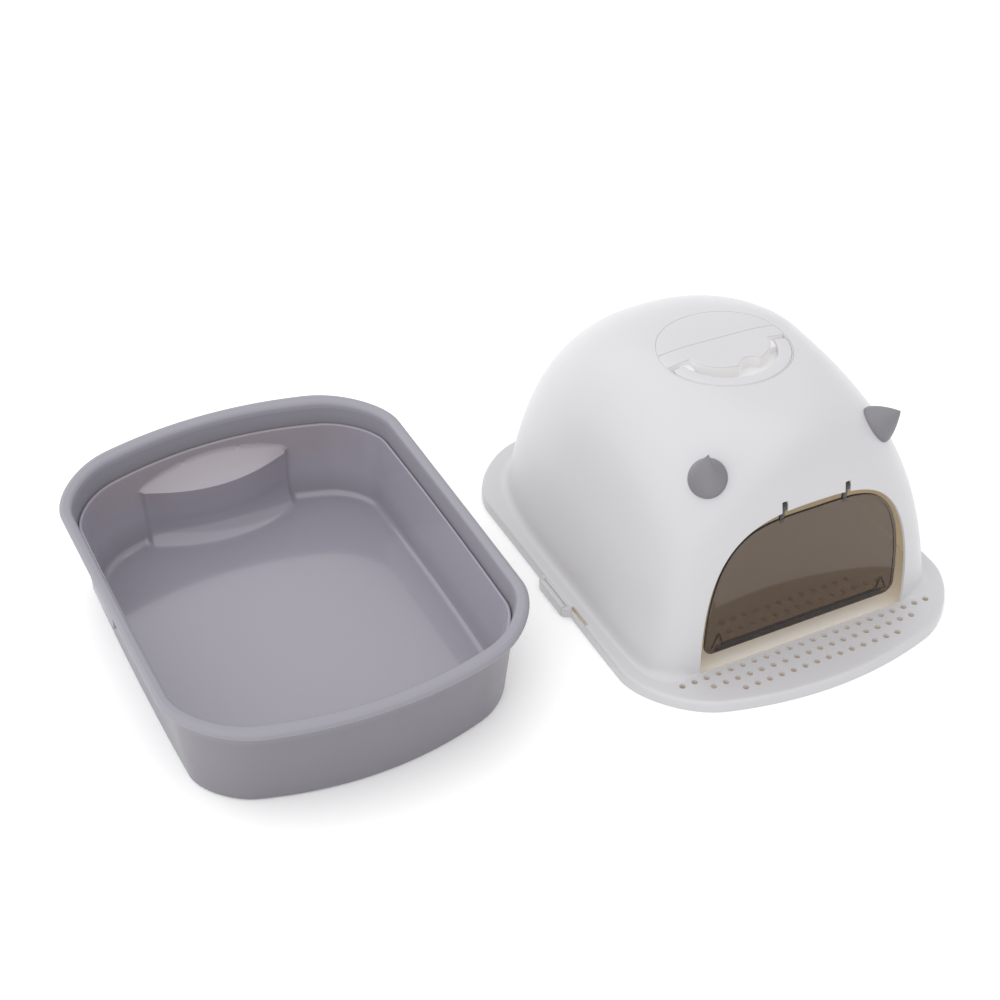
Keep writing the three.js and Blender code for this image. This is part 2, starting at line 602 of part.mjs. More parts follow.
const hood = new THREE.Group();
hood.position.set(...HOOD_POSITION);
hood.add(node('hood_shell', buildHoodShell(), WHITE_PLASTIC));
hood.add(node('handle_seat', buildSeat(), WHITE_PLASTIC));
hood.add(node('carry_handle', buildBail(), WHITE_PLASTIC));
hood.add(node('flap', buildFlap(), SMOKED_CLEAR));
for (const [name, side] of [['left', -1], ['right', 1]]) {
  hood.add(node(`handle_pin_${name}`, bailPin(side), PIN_PLASTIC));
  hood.add(node(`flap_pin_${name}`, flapPin(side), PIN_PLASTIC));
  hood.add(node(`ear_${name}`, buildEar(side), EAR_GREY));
  hood.add(node(`ear_ring_${name}`, earRing(side), PIN_PLASTIC));
  hood.add(node(`latch_${name}`, side < 0 ? mirrorX(buildLatch()) : buildLatch(), WHITE_PLASTIC));
  hood.add(node(`latch_pin_${name}`, side < 0 ? mirrorX(latchPin()) : latchPin(), PIN_PLASTIC));
}
litterBox.add(hood);

export default litterBox;
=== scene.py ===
# Cat litter box and its hood: the looks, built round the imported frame.
# Shapes are worked out in millimetres and turned into metres when a mesh is made.
import math

import bpy
import numpy as np
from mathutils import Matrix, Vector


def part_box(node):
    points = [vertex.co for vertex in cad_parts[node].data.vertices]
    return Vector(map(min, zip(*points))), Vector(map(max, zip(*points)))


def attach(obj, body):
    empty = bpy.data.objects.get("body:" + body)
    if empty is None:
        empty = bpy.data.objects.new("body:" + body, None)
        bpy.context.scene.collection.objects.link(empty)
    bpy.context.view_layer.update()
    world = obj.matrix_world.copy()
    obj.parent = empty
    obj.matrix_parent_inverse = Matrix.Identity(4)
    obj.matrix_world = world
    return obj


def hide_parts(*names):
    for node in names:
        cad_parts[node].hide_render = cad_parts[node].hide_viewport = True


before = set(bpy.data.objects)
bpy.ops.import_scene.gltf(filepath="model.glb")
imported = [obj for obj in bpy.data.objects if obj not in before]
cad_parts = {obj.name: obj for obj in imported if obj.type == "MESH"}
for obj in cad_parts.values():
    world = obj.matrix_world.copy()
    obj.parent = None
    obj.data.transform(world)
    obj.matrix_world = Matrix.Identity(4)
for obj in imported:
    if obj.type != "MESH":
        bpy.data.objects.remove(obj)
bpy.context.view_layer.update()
millimetre = 0.001

hoodLow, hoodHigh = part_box("hood_shell")
flangeCentreY = 6.5
hoodPlace = np.array([
    (hoodLow.x + hoodHigh.x) / 2 / millimetre,
    (hoodLow.y + hoodHigh.y) / 2 / millimetre - flangeCentreY,
    0.0,
])
print("frame loaded:", len(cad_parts), "nodes, hood stands at", hoodPlace.round(1))


# ---- meshes from arrays

def gridQuads(rows, columns):
    # quads between neighbouring rows and columns, the last column joined to the first
    row = np.arange(rows - 1)[:, None] * columns
    column = np.arange(columns)[None, :]
    after = (column + 1) % columns
    quads = [row + column, row + after, row + columns + after, row + columns + column]
    return np.stack(quads, -1).reshape(-1, 4)


def ringStack(grid):
    # rows of closed rings joined by quads; each end closes with a fan to the middle of its ring
    rows, columns = grid.shape[:2]
    around = np.arange(columns)
    after = (around + 1) % columns
    middles = rows * columns + np.zeros(columns, int)
    last = (rows - 1) * columns
    fans = np.concatenate([
        np.stack([middles, after, around], -1),
        np.stack([middles + 1, last + around, last + after], -1),
    ])
    points = np.vstack([grid.reshape(-1, 3), grid[0].mean(0), grid[-1].mean(0)])
    return points, [gridQuads(rows, columns), fans]


def makePiece(name, parts, materials, body, nodes, sharpAngle=35, faceSlots=None):
    # one mesh from several closed parts, put on its body in place of its CAD nodes
    points, corners, sizes, start = [], [], [], 0
    for partPoints, faceSets in parts:
        points.append(partPoints)
        for faces in faceSets:
            corners.append((faces + start).ravel())
            sizes.append(np.full(len(faces), faces.shape[1]))
        start += len(partPoints)
    points = np.concatenate(points) * millimetre
    corners, sizes = np.concatenate(corners), np.concatenate(sizes)
    mesh = bpy.data.meshes.new(name)
    mesh.vertices.add(len(points))
    mesh.vertices.foreach_set("co", points.astype(np.float32).ravel())
    mesh.loops.add(len(corners))
    mesh.loops.foreach_set("vertex_index", corners.astype(np.int32))
    mesh.polygons.add(len(sizes))
    mesh.polygons.foreach_set("loop_start", (np.cumsum(sizes) - sizes).astype(np.int32))
    mesh.update(calc_edges=True)
    mesh.validate()
    if faceSlots is not None:
        mesh.polygons.foreach_set("material_index", faceSlots.astype(np.int32))
    mesh.shade_smooth()
    mesh.set_sharp_from_angle(angle=math.radians(sharpAngle))
    for material in materials:
        mesh.materials.append(material)
    piece = bpy.data.objects.new(name, mesh)
    bpy.context.scene.collection.objects.link(piece)
    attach(piece, body)
    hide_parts(*nodes)


def moved(part, offset):
    return part[0] + np.asarray(offset, float), part[1]


def faceCount(part):
    return sum(len(faces) for faces in part[1])


def slotsByPart(parts, slots):
    # material slot of every face, one slot for each part
    return np.concatenate([np.full(faceCount(part), slot) for part, slot in zip(parts, slots)])


# ---- paths, outlines and the solids carried along them

def filletPath(corners, arcSteps=5, longest=None, closed=False):
    # each corner (u, v, radius) gives way to an arc that touches both of its sides, and long sides are
    # divided
    spots = np.array([corner[:2] for corner in corners], float)
    pieces = []
    for i, corner in enumerate(corners):
        here, radius = spots[i], corner[2] if len(corner) > 2 else 0
        if radius == 0:
            pieces.append(here[None])
            continue
        back, ahead = spots[i - 1] - here, spots[(i + 1) % len(spots)] - here
        back, ahead = back / np.linalg.norm(back), ahead / np.linalg.norm(ahead)
        half = np.arccos(np.clip(back @ ahead, -1, 1)) / 2
        middle = (back + ahead) / np.linalg.norm(back + ahead)
        centre = here + middle * radius / np.sin(half)
        start = here + back * radius / np.tan(half) - centre
        end = here + ahead * radius / np.tan(half) - centre
        turn = np.pi - 2 * half
        share = np.linspace(0, 1, arcSteps + 1)[:, None]
        arc = np.sin((1 - share) * turn) * start + np.sin(share * turn) * end
        pieces.append(centre + arc / np.sin(turn))
    path = np.concatenate(pieces)
    if closed:
        path = np.vstack([path, path[:1]])
    if longest:
        steps = np.maximum(np.ceil(np.linalg.norm(np.diff(path, axis=0), axis=1) / longest), 1).astype(int)
        path = np.vstack([
            *[a + (b - a) * np.arange(n)[:, None] / n for a, b, n in zip(path[:-1], path[1:], steps)],
            path[-1:],
        ])
    return path[:-1] if closed else path


def insetOutline(outline, distance):
    # a closed counter-clockwise outline moved inwards, each point along its own normal
    ahead = np.roll(outline, -1, 0) - outline
    behind = outline - np.roll(outline, 1, 0)
    along = ahead / np.linalg.norm(ahead, axis=1, keepdims=True)
    along = along + behind / np.linalg.norm(behind, axis=1, keepdims=True)
    along /= np.linalg.norm(along, axis=1, keepdims=True)
    return outline + np.stack([-along[:, 1], along[:, 0]], -1) * distance


def xyPlane(u, v, w):
    return np.stack([u, v, w], -1)


def xzPlane(u, v, w):
    return np.stack([u, -w, v], -1)


def yzPlane(u, v, w):
    return np.stack([w, u, v], -1)


def outlineSolid(outline, profile, place=xyPlane, middle=None, closing=(0.7, 0.4, 0.15), surface=None):
    # the profile's points (inset, height) are carried round the outline, and smaller copies of its first
    # and last
    # rings close the faces; with a surface, heights above zero are measured from that surface over the plan
    middle = outline.mean(0) if middle is None else np.asarray(middle, float)
    rings = [insetOutline(outline, inset) for inset, _ in profile]
    heights = [height for _, height in profile]
    shrunk = [[middle + (ring - middle) * share for share in closing] for ring in (rings[0], rings[-1])]
    rings = np.array([*shrunk[0][::-1], *rings, *shrunk[1]])
    heights = np.array([*[heights[0]] * len(closing), *heights, *[heights[-1]] * len(closing)])
    w = np.broadcast_to(heights[:, None], rings.shape[:2])
    if surface is not None:
        w = np.where(w > -100, w + surface(rings[..., 0], rings[..., 1]), w + 1000)
    return ringStack(place(rings[..., 0], rings[..., 1], w))


def plateProfile(bottom, top, edge, steps=4):
    # straight side from bottom to top, with a quarter round of radius edge at each end
    turn = np.linspace(0, np.pi / 2, steps + 1)
    foot = np.stack([edge * (1 - np.sin(turn)), bottom + edge * (1 - np.cos(turn))], -1)
    head = np.stack([edge * (1 - np.cos(turn)), top - edge * (1 - np.sin(turn))], -1)
    return np.vstack([foot, head])


def roundFrame(cornerSteps, alongX, alongY):
    # a rounded rectangle's points: each corner circle's centre as shares of the half sizes, and the angle
    # on it
    signs = [(1, 1), (-1, 1), (-1, -1), (1, -1)]
    parts = []
    for i, (sx, sy) in enumerate(signs):
        turn = np.linspace(0, 90, cornerSteps + 1) + 90 * i
        parts.append(np.stack([turn * 0 + sx, turn * 0 + sy, turn]))
        nextX, nextY = signs[(i + 1) % 4]
        share = np.linspace(0, 1, (alongY if i % 2 else alongX) + 1)[1:-1]
        parts.append(np.stack([sx + (nextX - sx) * share, sy + (nextY - sy) * share,
                               share * 0 + 90 * (i + 1)]))
    shareX, shareY, angle = np.concatenate(parts, axis=1)
    return shareX, shareY, np.radians(angle)


def roundedBlock(low, high, radius, steps=3):
    # box with every edge rounded: rounded rectangles whose size and corners follow a quarter circle at each
    # end
    low, high = np.array(low, float), np.array(high, float)
    middle, half = (low + high) / 2, (high - low) / 2
    shareX, shareY, angle = roundFrame(steps, 1, 1)
    tilt = np.radians(np.concatenate([np.linspace(-90, 0, steps + 1), np.linspace(0, 90, steps + 1)]))
    tilt = tilt[:, None]
    side = np.where(np.arange(len(tilt)) <= steps, -1, 1)[:, None]
    across = radius * np.cos(tilt)
    x = shareX * (half[0] - radius) + across * np.cos(angle)
    y = shareY * (half[1] - radius) + across * np.sin(angle)
    z = side * (half[2] - radius) + radius * np.sin(tilt) + x * 0
    return ringStack(np.stack([x, y, z], -1) + middle)


def roundRod(centre, axis, radius, length, sides=28, edge=0.35):
    # pin along X or Y with its rims rounded
    turn = np.linspace(0, 2 * np.pi, sides, endpoint=False)
    outline = np.stack([np.cos(turn), np.sin(turn)], -1) * radius
    place = yzPlane if axis == "x" else xzPlane
    return moved(outlineSolid(outline, plateProfile(-length / 2, length / 2, edge), place, (0, 0)), centre)


def turnedRing(profile, centre, normal, sides=48):
    # closed profile (radius, height) turned about an axis along the normal
    normal = np.asarray(normal, float) / np.linalg.norm(normal)
    first = np.cross(normal, (0, 0, 1.0))
    first /= np.linalg.norm(first)
    second = np.cross(normal, first)
    turn = np.linspace(0, 2 * np.pi, sides, endpoint=False)[None, :, None]
    radius, height = profile[:, 0][:, None, None], profile[:, 1][:, None, None]
    grid = np.asarray(centre) + radius * (np.cos(turn) * first + np.sin(turn) * second) + height * normal
    rows = len(profile)
    grid = np.concatenate([grid, grid[:1]])
    points = grid[:rows].reshape(-1, 3)
    return points, [gridQuads(rows + 1, sides) % (rows * sides)]


def ribAlong(path, normal, width, height):
    # half-oval bead carried along a path, its ends drawn in to a round nose
    path = np.asarray(path, float)
    along = np.gradient(path, axis=0)
    along /= np.linalg.norm(along, axis=1, keepdims=True)
    side = np.cross(along, normal)
    reach = np.concatenate([[0], np.cumsum(np.linalg.norm(np.diff(path, axis=0), axis=1))])
    fromEnd = np.minimum(reach, reach[-1] - reach) / (width / 2)
    size = np.sqrt(np.clip(1 - (1 - np.minimum(fromEnd, 1)) ** 2, 0.02, 1))[:, None, None]
    turn = np.linspace(0, 2 * np.pi, 14, endpoint=False)[None, :, None]
    section = np.cos(turn) * side[:, None] * width / 2 + np.sin(turn) * np.asarray(normal) * height
    grid = path[:, None] + size * section
    return ringStack(grid[:, ::-1])


def trimSurface(points, quads, field):
    # keeps a surface where the field is positive; faces on the zero line are cut along it, with every new
    # corner
    # found by halving the edge that crosses the line
    value = field(points)
    kept = (value[quads] > 0).sum(1)
    crossed = quads[(kept > 0) & (kept < 4)]
    triangles = np.concatenate([crossed[:, [0, 1, 2]], crossed[:, [0, 2, 3]]])
    inside = value[triangles] > 0
    count = inside.sum(1)

    def oddFirst(chosen, odd):
        return np.take_along_axis(chosen, (np.argmax(odd, 1)[:, None] + np.arange(3)) % 3, 1)

    one = oddFirst(triangles[count == 1], inside[count == 1])
    two = oddFirst(triangles[count == 2], ~inside[count == 2])
    edges = np.concatenate([one[:, [0, 1]], one[:, [0, 2]], two[:, [1, 0]], two[:, [2, 0]]])
    key = edges.min(1) * len(points) + edges.max(1)
    _, first, same = np.unique(key, return_index=True, return_inverse=True)
    start, end = points[edges[first, 0]], points[edges[first, 1]]
    low, high = np.zeros(len(first)), np.ones(len(first))
    for _ in range(22):
        middle = (low + high) / 2
        stays = field(start + (end - start) * middle[:, None]) > 0
        low, high = np.where(stays, middle, low), np.where(stays, high, middle)
    corner = len(points) + same.ravel()
    a, b, c, d = np.split(corner, np.cumsum([len(one), len(one), len(two)]))
    newQuads = np.concatenate([quads[kept == 4], np.stack([two[:, 1], two[:, 2], d, c], -1)])
    newTriangles = np.concatenate([triangles[count == 3], np.stack([one[:, 0], a, b], -1)])
    points = np.vstack([points, start + (end - start) * low[:, None]])
    used = np.zeros(len(points), bool)
    used[newQuads] = True
    used[newTriangles] = True
    number = np.cumsum(used) - 1
    return points[used], [number[newQuads], number[newTriangles]]


def thickened(points, faceSets, thickness):
    # gives a surface a wall: the same faces again, turned round and moved in along the vertex normals by
    # the wall's
    # thickness, and a strip of quads along every open edge; outer faces and edge strips come first
    triangles = np.concatenate([faceSets[0][:, :3], faceSets[0][:, [0, 2, 3]], faceSets[1]])
    corner = points[triangles]
    face = np.cross(corner[:, 1] - corner[:, 0], corner[:, 2] - corner[:, 0])
    normal = np.zeros_like(points)
    for i in range(3):
        np.add.at(normal, triangles[:, i], face)
    normal /= np.maximum(np.linalg.norm(normal, axis=1, keepdims=True), 1e-9)
    unit = face / np.maximum(np.linalg.norm(face, axis=1, keepdims=True), 1e-9)
    lean, weight = np.zeros(len(points)), np.zeros(len(points))
    area = np.linalg.norm(face, axis=1)
    for i in range(3):
        np.add.at(lean, triangles[:, i], area * (unit * normal[triangles[:, i]]).sum(1))
        np.add.at(weight, triangles[:, i], area)
    stretch = np.clip(weight / np.maximum(lean, 1e-9), 1, 1.5)[:, None]
    count = len(points)
    edges = np.concatenate([np.stack([f, np.roll(f, -1, 1)], -1).reshape(-1, 2) for f in faceSets])
    key = edges.min(1) * count + edges.max(1)
    _, first, times = np.unique(key, return_index=True, return_counts=True)
    rim = edges[first[times == 1]]
    strip = np.stack([rim[:, 1], rim[:, 0], rim[:, 0] + count, rim[:, 1] + count], -1)
    inner = [faces[:, ::-1] + count for faces in faceSets]
    both = np.vstack([points, points - normal * stretch * thickness])
    return (both, [faceSets[0], faceSets[1], strip, *inner]), len(faceSets[0]) + len(faceSets[1]) + len(strip)


# ---- materials

def nodeGroup(name, inputs, outputs):
    tree = bpy.data.node_groups.new(name, "ShaderNodeTree")
    for label, kind, value in inputs:
        tree.interface.new_socket(name=label, in_out="INPUT", socket_type=kind).default_value = value
    for label, kind in outputs:
        tree.interface.new_socket(name=label, in_out="OUTPUT", socket_type=kind)
    return tree, tree.nodes.new("NodeGroupInput").outputs, tree.nodes.new("NodeGroupOutput").inputs


def addNode(tree, kind, links=None, **settings):
    node = tree.nodes.new(kind)
    for key, value in settings.items():
        setattr(node, key, value)
    for socket, source in (links or {}).items():
        if hasattr(source, "is_linked"):
            tree.links.new(source, node.inputs[socket])
        else:
            node.inputs[socket].default_value = source
    return node


def mathNode(tree, operation, a, b=0.0, clamp=False):
    return addNode(tree, "ShaderNodeMath", {0: a, 1: b}, operation=operation, use_clamp=clamp).outputs[0]


def mixColour(tree, share, a, b):
    return addNode(tree, "ShaderNodeMix", {0: share, 6: a, 7: b}, data_type="RGBA").outputs[2]


plasticFinish = {
    "glossScale": 38, "patchScale": 14, "patchFrom": 0.55, "patchSlope": 6.0, "scuffThinness": 70.0,
    "scuffRoughness": 0.3, "bumpDistance": 0.0002, "ior": 1.49,
}


def mouldedPlasticGroup():
    # injection-moulded plastic: slow clouds in the colour, uneven gloss, and a fine grain in the surface
    tree, given, out = nodeGroup(
        "mouldedPlastic",
        [("Position", "NodeSocketVector", (0, 0, 0)), ("Colour", "NodeSocketColor", (1, 1, 1, 1)),
         ("Cloud Colour", "NodeSocketColor", (1, 1, 1, 1)), ("Cloud Scale", "NodeSocketFloat", 9),
         ("Cloud Share", "NodeSocketFloat", 0.5), ("Roughness", "NodeSocketFloat", 0.4),
         ("Roughness Spread", "NodeSocketFloat", 0.1), ("Grain Scale", "NodeSocketFloat", 900)],
        [("Colour", "NodeSocketColor"), ("Roughness", "NodeSocketFloat"), ("Grain", "NodeSocketFloat")],
    )
    clouds = addNode(tree, "ShaderNodeTexNoise",
                     {"Vector": given["Position"], "Scale": given["Cloud Scale"], "Detail": 3})
    share = mathNode(tree, "MULTIPLY", clouds.outputs["Fac"], given["Cloud Share"], clamp=True)
    tree.links.new(mixColour(tree, share, given["Colour"], given["Cloud Colour"]), out["Colour"])
    gloss = addNode(tree, "ShaderNodeTexNoise",
                    {"Vector": given["Position"], "Scale": plasticFinish["glossScale"], "Detail": 4})
    spread = mathNode(tree, "MULTIPLY", mathNode(tree, "SUBTRACT", gloss.outputs["Fac"], 0.5),
                      given["Roughness Spread"])
    tree.links.new(mathNode(tree, "ADD", spread, given["Roughness"], clamp=True), out["Roughness"])
    grain = addNode(tree, "ShaderNodeTexNoise",
                    {"Vector": given["Position"], "Scale": given["Grain Scale"], "Detail": 2})
    tree.links.new(grain.outputs["Fac"], out["Grain"])
    return tree


def fineScuffsGroup():
    # hairline scuffs: thin bands of a stretched noise, broken up by a second, slower one
    tree, given, out = nodeGroup(
        "fineScuffs",
        [("Position", "NodeSocketVector", (0, 0, 0)), ("Scale", "NodeSocketFloat", 30),
         ("Amount", "NodeSocketFloat", 0.5)],
        [("Scuffs", "NodeSocketFloat")],
    )
    stretched = addNode(tree, "ShaderNodeMapping", {"Vector": given["Position"], "Rotation": (0.3, 0.5, 0.7),
                                                    "Scale": (0.15, 3.0, 1.0)})
    lines = addNode(tree, "ShaderNodeTexNoise",
                    {"Vector": stretched.outputs[0], "Scale": given["Scale"], "Detail": 5})
    centred = mathNode(tree, "ABSOLUTE", mathNode(tree, "SUBTRACT", lines.outputs["Fac"], 0.5))
    steep = mathNode(tree, "MULTIPLY", centred, plasticFinish["scuffThinness"])
    thin = mathNode(tree, "SUBTRACT", 1.0, steep, clamp=True)
    patches = addNode(tree, "ShaderNodeTexNoise",
                      {"Vector": given["Position"], "Scale": plasticFinish["patchScale"], "Detail": 2})
    above = mathNode(tree, "SUBTRACT", patches.outputs["Fac"], plasticFinish["patchFrom"])
    rare = mathNode(tree, "MULTIPLY", above, plasticFinish["patchSlope"], clamp=True)
    worn = mathNode(tree, "MULTIPLY", mathNode(tree, "MULTIPLY", thin, rare), given["Amount"])
    tree.links.new(worn, out["Scuffs"])
    return tree


mouldedPlastic = mouldedPlasticGroup()
fineScuffs = fineScuffsGroup()


def plasticMaterial(name, look):
    material = bpy.data.materials.new(name)
    material.use_nodes = True
    tree = material.node_tree
    shader = tree.nodes["Principled BSDF"]
    position = addNode(tree, "ShaderNodeTexCoord").outputs["Object"]
    moulded = addNode(tree, "ShaderNodeGroup", node_tree=mouldedPlastic)
    tree.links.new(position, moulded.inputs["Position"])
    for label in ("Colour", "Cloud Colour", "Cloud Scale", "Cloud Share", "Roughness", "Roughness Spread",
                  "Grain Scale"):
        if label in look:
            moulded.inputs[label].default_value = look[label]
    scuffs = addNode(tree, "ShaderNodeGroup", node_tree=fineScuffs)
    tree.links.new(position, scuffs.inputs["Position"])
    scuffs.inputs["Amount"].default_value = look["Scuffs"]
    colour = mixColour(tree, scuffs.outputs["Scuffs"], moulded.outputs["Colour"], look["Scuff Colour"])
    tree.links.new(colour, shader.inputs["Base Color"])
    rough = mathNode(tree, "ADD", moulded.outputs["Roughness"],
                     mathNode(tree, "MULTIPLY", scuffs.outputs["Scuffs"], plasticFinish["scuffRoughness"]))
    tree.links.new(rough, shader.inputs["Roughness"])
    bump = addNode(tree, "ShaderNodeBump", {"Height": moulded.outputs["Grain"], "Strength": look["Bump"],
                                            "Distance": plasticFinish["bumpDistance"]})
    tree.links.new(bump.outputs[0], shader.inputs["Normal"])
    shader.inputs["IOR"].default_value = plasticFinish["ior"]
    shader.inputs["Coat Weight"].default_value = look.get("Coat", 0.0)
    shader.inputs["Coat Roughness"].default_value = look.get("Coat Roughness", 0.1)
    # a weak glow stands in for light through thin walls
    shader.inputs["Emission Color"].default_value = look.get("Glow Colour", (1, 1, 1, 1))
    shader.inputs["Emission Strength"].default_value = look.get("Glow", 0.0)
    return material, tree, shader


hoodLook = {
    "Colour": (0.349, 0.343, 0.362, 1), "Cloud Colour": (0.363, 0.358, 0.364, 1),
    "Cloud Scale": 6, "Cloud Share": 0.7, "Roughness": 0.36, "Roughness Spread": 0.10,
    "Grain Scale": 1500, "Bump": 0.05,
    "Scuffs": 0.10, "Scuff Colour": (0.44, 0.44, 0.44, 1), "Glow": 0.16, "Glow Colour": (1.0, 0.99, 1.0, 1),
}
# inside of the hood: its tan colour and warm glow are painted light, the smoked flap's brown-tinted light
# falling on white plastic
insidePaintedLightLook = {
    "Colour": (0.42, 0.36, 0.27, 1), "Cloud Colour": (0.45, 0.39, 0.30, 1),
    "Cloud Scale": 6, "Cloud Share": 0.7, "Roughness": 0.45, "Roughness Spread": 0.10,
    "Grain Scale": 1500, "Bump": 0.05,
    "Scuffs": 0.08, "Scuff Colour": (0.50, 0.45, 0.36, 1), "Glow": 0.19, "Glow Colour": (1.0, 0.82, 0.56, 1),
}
trayLook = {
    "Colour": (0.204, 0.197, 0.225, 1), "Cloud Colour": (0.216, 0.208, 0.235, 1),
    "Cloud Scale": 7, "Cloud Share": 0.6, "Roughness": 0.38, "Roughness Spread": 0.12,
    "Grain Scale": 1300, "Bump": 0.10,
    # the wall colour darkens the tray's outer wall below the rim: painted shade
    "Scuffs": 0.12, "Scuff Colour": (0.30, 0.29, 0.32, 1), "Painted Wall Shading": (0.152, 0.146, 0.165, 1),
    "Glow": 0.03, "Glow Colour": (0.92, 0.88, 1.0, 1),
}
panLook = {
    "Colour": (0.194, 0.184, 0.222, 1), "Cloud Colour": (0.205, 0.194, 0.227, 1),
    "Cloud Scale": 6, "Cloud Share": 0.6, "Roughness": 0.16, "Roughness Spread": 0.08,
    "Grain Scale": 1500, "Bump": 0.02,
    "Scuffs": 0.05, "Scuff Colour": (0.30, 0.29, 0.32, 1), "Coat": 0.35, "Coat Roughness": 0.06,
    # the warm colour is a painted warm reflection high on the rear wall, and the wall colour lightens the
    # walls above the floor: painted light
    "Painted Warm Reflection": (0.232, 0.203, 0.226, 1), "Painted Wall Shading": (0.238, 0.227, 0.270, 1),
    "Glow": 0.035, "Glow Colour": (0.92, 0.88, 1.0, 1),
}
earLook = {
    "Colour": (0.163, 0.159, 0.175, 1), "Cloud Colour": (0.176, 0.171, 0.185, 1),
    "Cloud Scale": 30, "Cloud Share": 0.6, "Roughness": 0.55, "Roughness Spread": 0.10,
    "Grain Scale": 1800, "Bump": 0.22,
    "Scuffs": 0.12, "Scuff Colour": (0.27, 0.26, 0.28, 1),
}
pinLook = {
    "Colour": (0.44, 0.43, 0.44, 1), "Cloud Colour": (0.47, 0.46, 0.46, 1),
    "Cloud Scale": 40, "Cloud Share": 0.6, "Roughness": 0.42, "Roughness Spread": 0.08,
    "Grain Scale": 1500, "Bump": 0.08,
    "Scuffs": 0.15, "Scuff Colour": (0.38, 0.37, 0.36, 1),
}
hoodPlastic = plasticMaterial("hoodPlastic", hoodLook)[0]
hoodInsidePaintedLight = plasticMaterial("hoodInsidePaintedLight", insidePaintedLightLook)[0]
# the seat's recess gets a stronger glow: painted light that lifts the shade in the recess
seatWellPaintedLight = plasticMaterial("seatWellPaintedLight", {**hoodLook, "Glow": 0.36, "Glow Colour": (1.0, 0.99, 0.95, 1)})[0]
trayPlastic, trayTree, trayShader = plasticMaterial("trayPlastic", trayLook)
panPlastic, panTree, panShader = plasticMaterial("panPlastic", panLook)


def fadeShare(tree, axis, start, slope):
    # rises from nought at the start, in metres along one axis; a negative slope rises the other way
    place = addNode(tree, "ShaderNodeSeparateXYZ", {0: addNode(tree, "ShaderNodeTexCoord").outputs["Object"]})
    beyond = mathNode(tree, "SUBTRACT", place.outputs[axis], start)
    return mathNode(tree, "MULTIPLY", beyond, slope, clamp=True)


def tintOver(tree, shader, share, colour):
    plain = shader.inputs["Base Color"].links[0].from_socket
    tree.links.new(mixColour(tree, share, plain, colour), shader.inputs["Base Color"])


# painted shade and light by height: the tray's outer wall is darkened below its rim, a painted shade; the
# pan's walls are lightened above its floor, painted light; and a faint warm painted reflection lies high on
# the pan's rear wall
tintOver(trayTree, trayShader, fadeShare(trayTree, "Z", 0.100, -55.0), trayLook["Painted Wall Shading"])
tintOver(panTree, panShader, fadeShare(panTree, "Z", 0.012, 40.0), panLook["Painted Wall Shading"])
paintedReflectionShare = mathNode(panTree, "MULTIPLY", fadeShare(panTree, "Y", 0.165, 28.0),
                     fadeShare(panTree, "Z", 0.040, 40.0))
tintOver(panTree, panShader, paintedReflectionShare, panLook["Painted Warm Reflection"])
earPlastic = plasticMaterial("earPlastic", earLook)[0]
pinPlastic = plasticMaterial("pinPlastic", pinLook)[0]

smokedLook = {
    "Colour": (0.212, 0.155, 0.108, 1), "Cloud Colour": (0.232, 0.170, 0.119, 1),
    "Cloud Scale": 9, "Cloud Share": 0.6, "Roughness": 0.06, "Roughness Spread": 0.05,
    "Grain Scale": 240, "Bump": 0.004,
    "Scuffs": 0.10, "Scuff Colour": (0.45, 0.40, 0.34, 1),
}
smokedPlastic, _, smokedShader = plasticMaterial("smokedPlastic", smokedLook)
smokedShader.inputs["Transmission Weight"].default_value = 0.9
smokedEdgeLook = {**smokedLook, "Colour": (0.045, 0.036, 0.032, 1), "Cloud Colour": (0.055, 0.043, 0.038, 1)}
smokedEdge, _, edgeShader = plasticMaterial("smokedEdge", smokedEdgeLook)
edgeShader.inputs["Transmission Weight"].default_value = 0.5
print("materials made")


# ---- tray and pan: sections carried round a plan that is a rounded rectangle with bowed short ends

plan = {
    "base": {"halfWidth": 161.7, "halfLength": 218.6, "radius": 47.0, "bow": 38.7, "sideBow": 3.4},
    "rim": {"halfWidth": 184.9, "halfLength": 248.0, "radius": 74.0, "bow": 42.2, "sideBow": 0.0},
    "cornerSteps": 20, "shortSideSteps": 160, "longSideSteps": 44,
}


def planGrid(halfWidth, height, share=None):
    # every measure of the plan follows from its half width; y is drawn in by the square of x, x pushed out
    # by y's
    base, rim = plan["base"], plan["rim"]
    grow = (halfWidth - base["halfWidth"]) / (rim["halfWidth"] - base["halfWidth"])
    length, radius, bow, sideBow = (
        (base[k] + grow * (rim[k] - base[k]))[:, None] for k in ("halfLength", "radius", "bow", "sideBow"))
    radius = np.maximum(radius, 12)
    width = halfWidth[:, None]
    shareX, shareY, angle = roundFrame(plan["cornerSteps"], plan["shortSideSteps"], plan["longSideSteps"])
    x = shareX * (width - radius) + radius * np.cos(angle)
    y = shareY * (length - radius) + radius * np.sin(angle)
    x, y = x * (1 + sideBow / width * (1 - (y / length) ** 2)), y * (1 - bow / length * (x / width) ** 2)
    share = np.ones(len(halfWidth)) if share is None else share
    return np.stack([x * share[:, None], y * share[:, None], height[:, None] + x * 0], -1)


def planSolid(section, deform, outsideShares=(0.25, 0.5, 0.75, 0.93),
              insideShares=(0.96, 0.88, 0.74, 0.55, 0.32)):
    # rings along the section, closed below and on the floor inside by smaller copies of the first and last
    # ring
    first, last = section[0], section[-1]
    rows = np.vstack([
        [(*first, share) for share in outsideShares], [(*point, 1) for point in section],
        [(*last, share) for share in insideShares],
    ])
    grid = planGrid(rows[:, 0], rows[:, 1], rows[:, 2])
    return ringStack(deform(grid, np.arange(len(rows)) > len(outsideShares) + section.argmax(0)[1]))


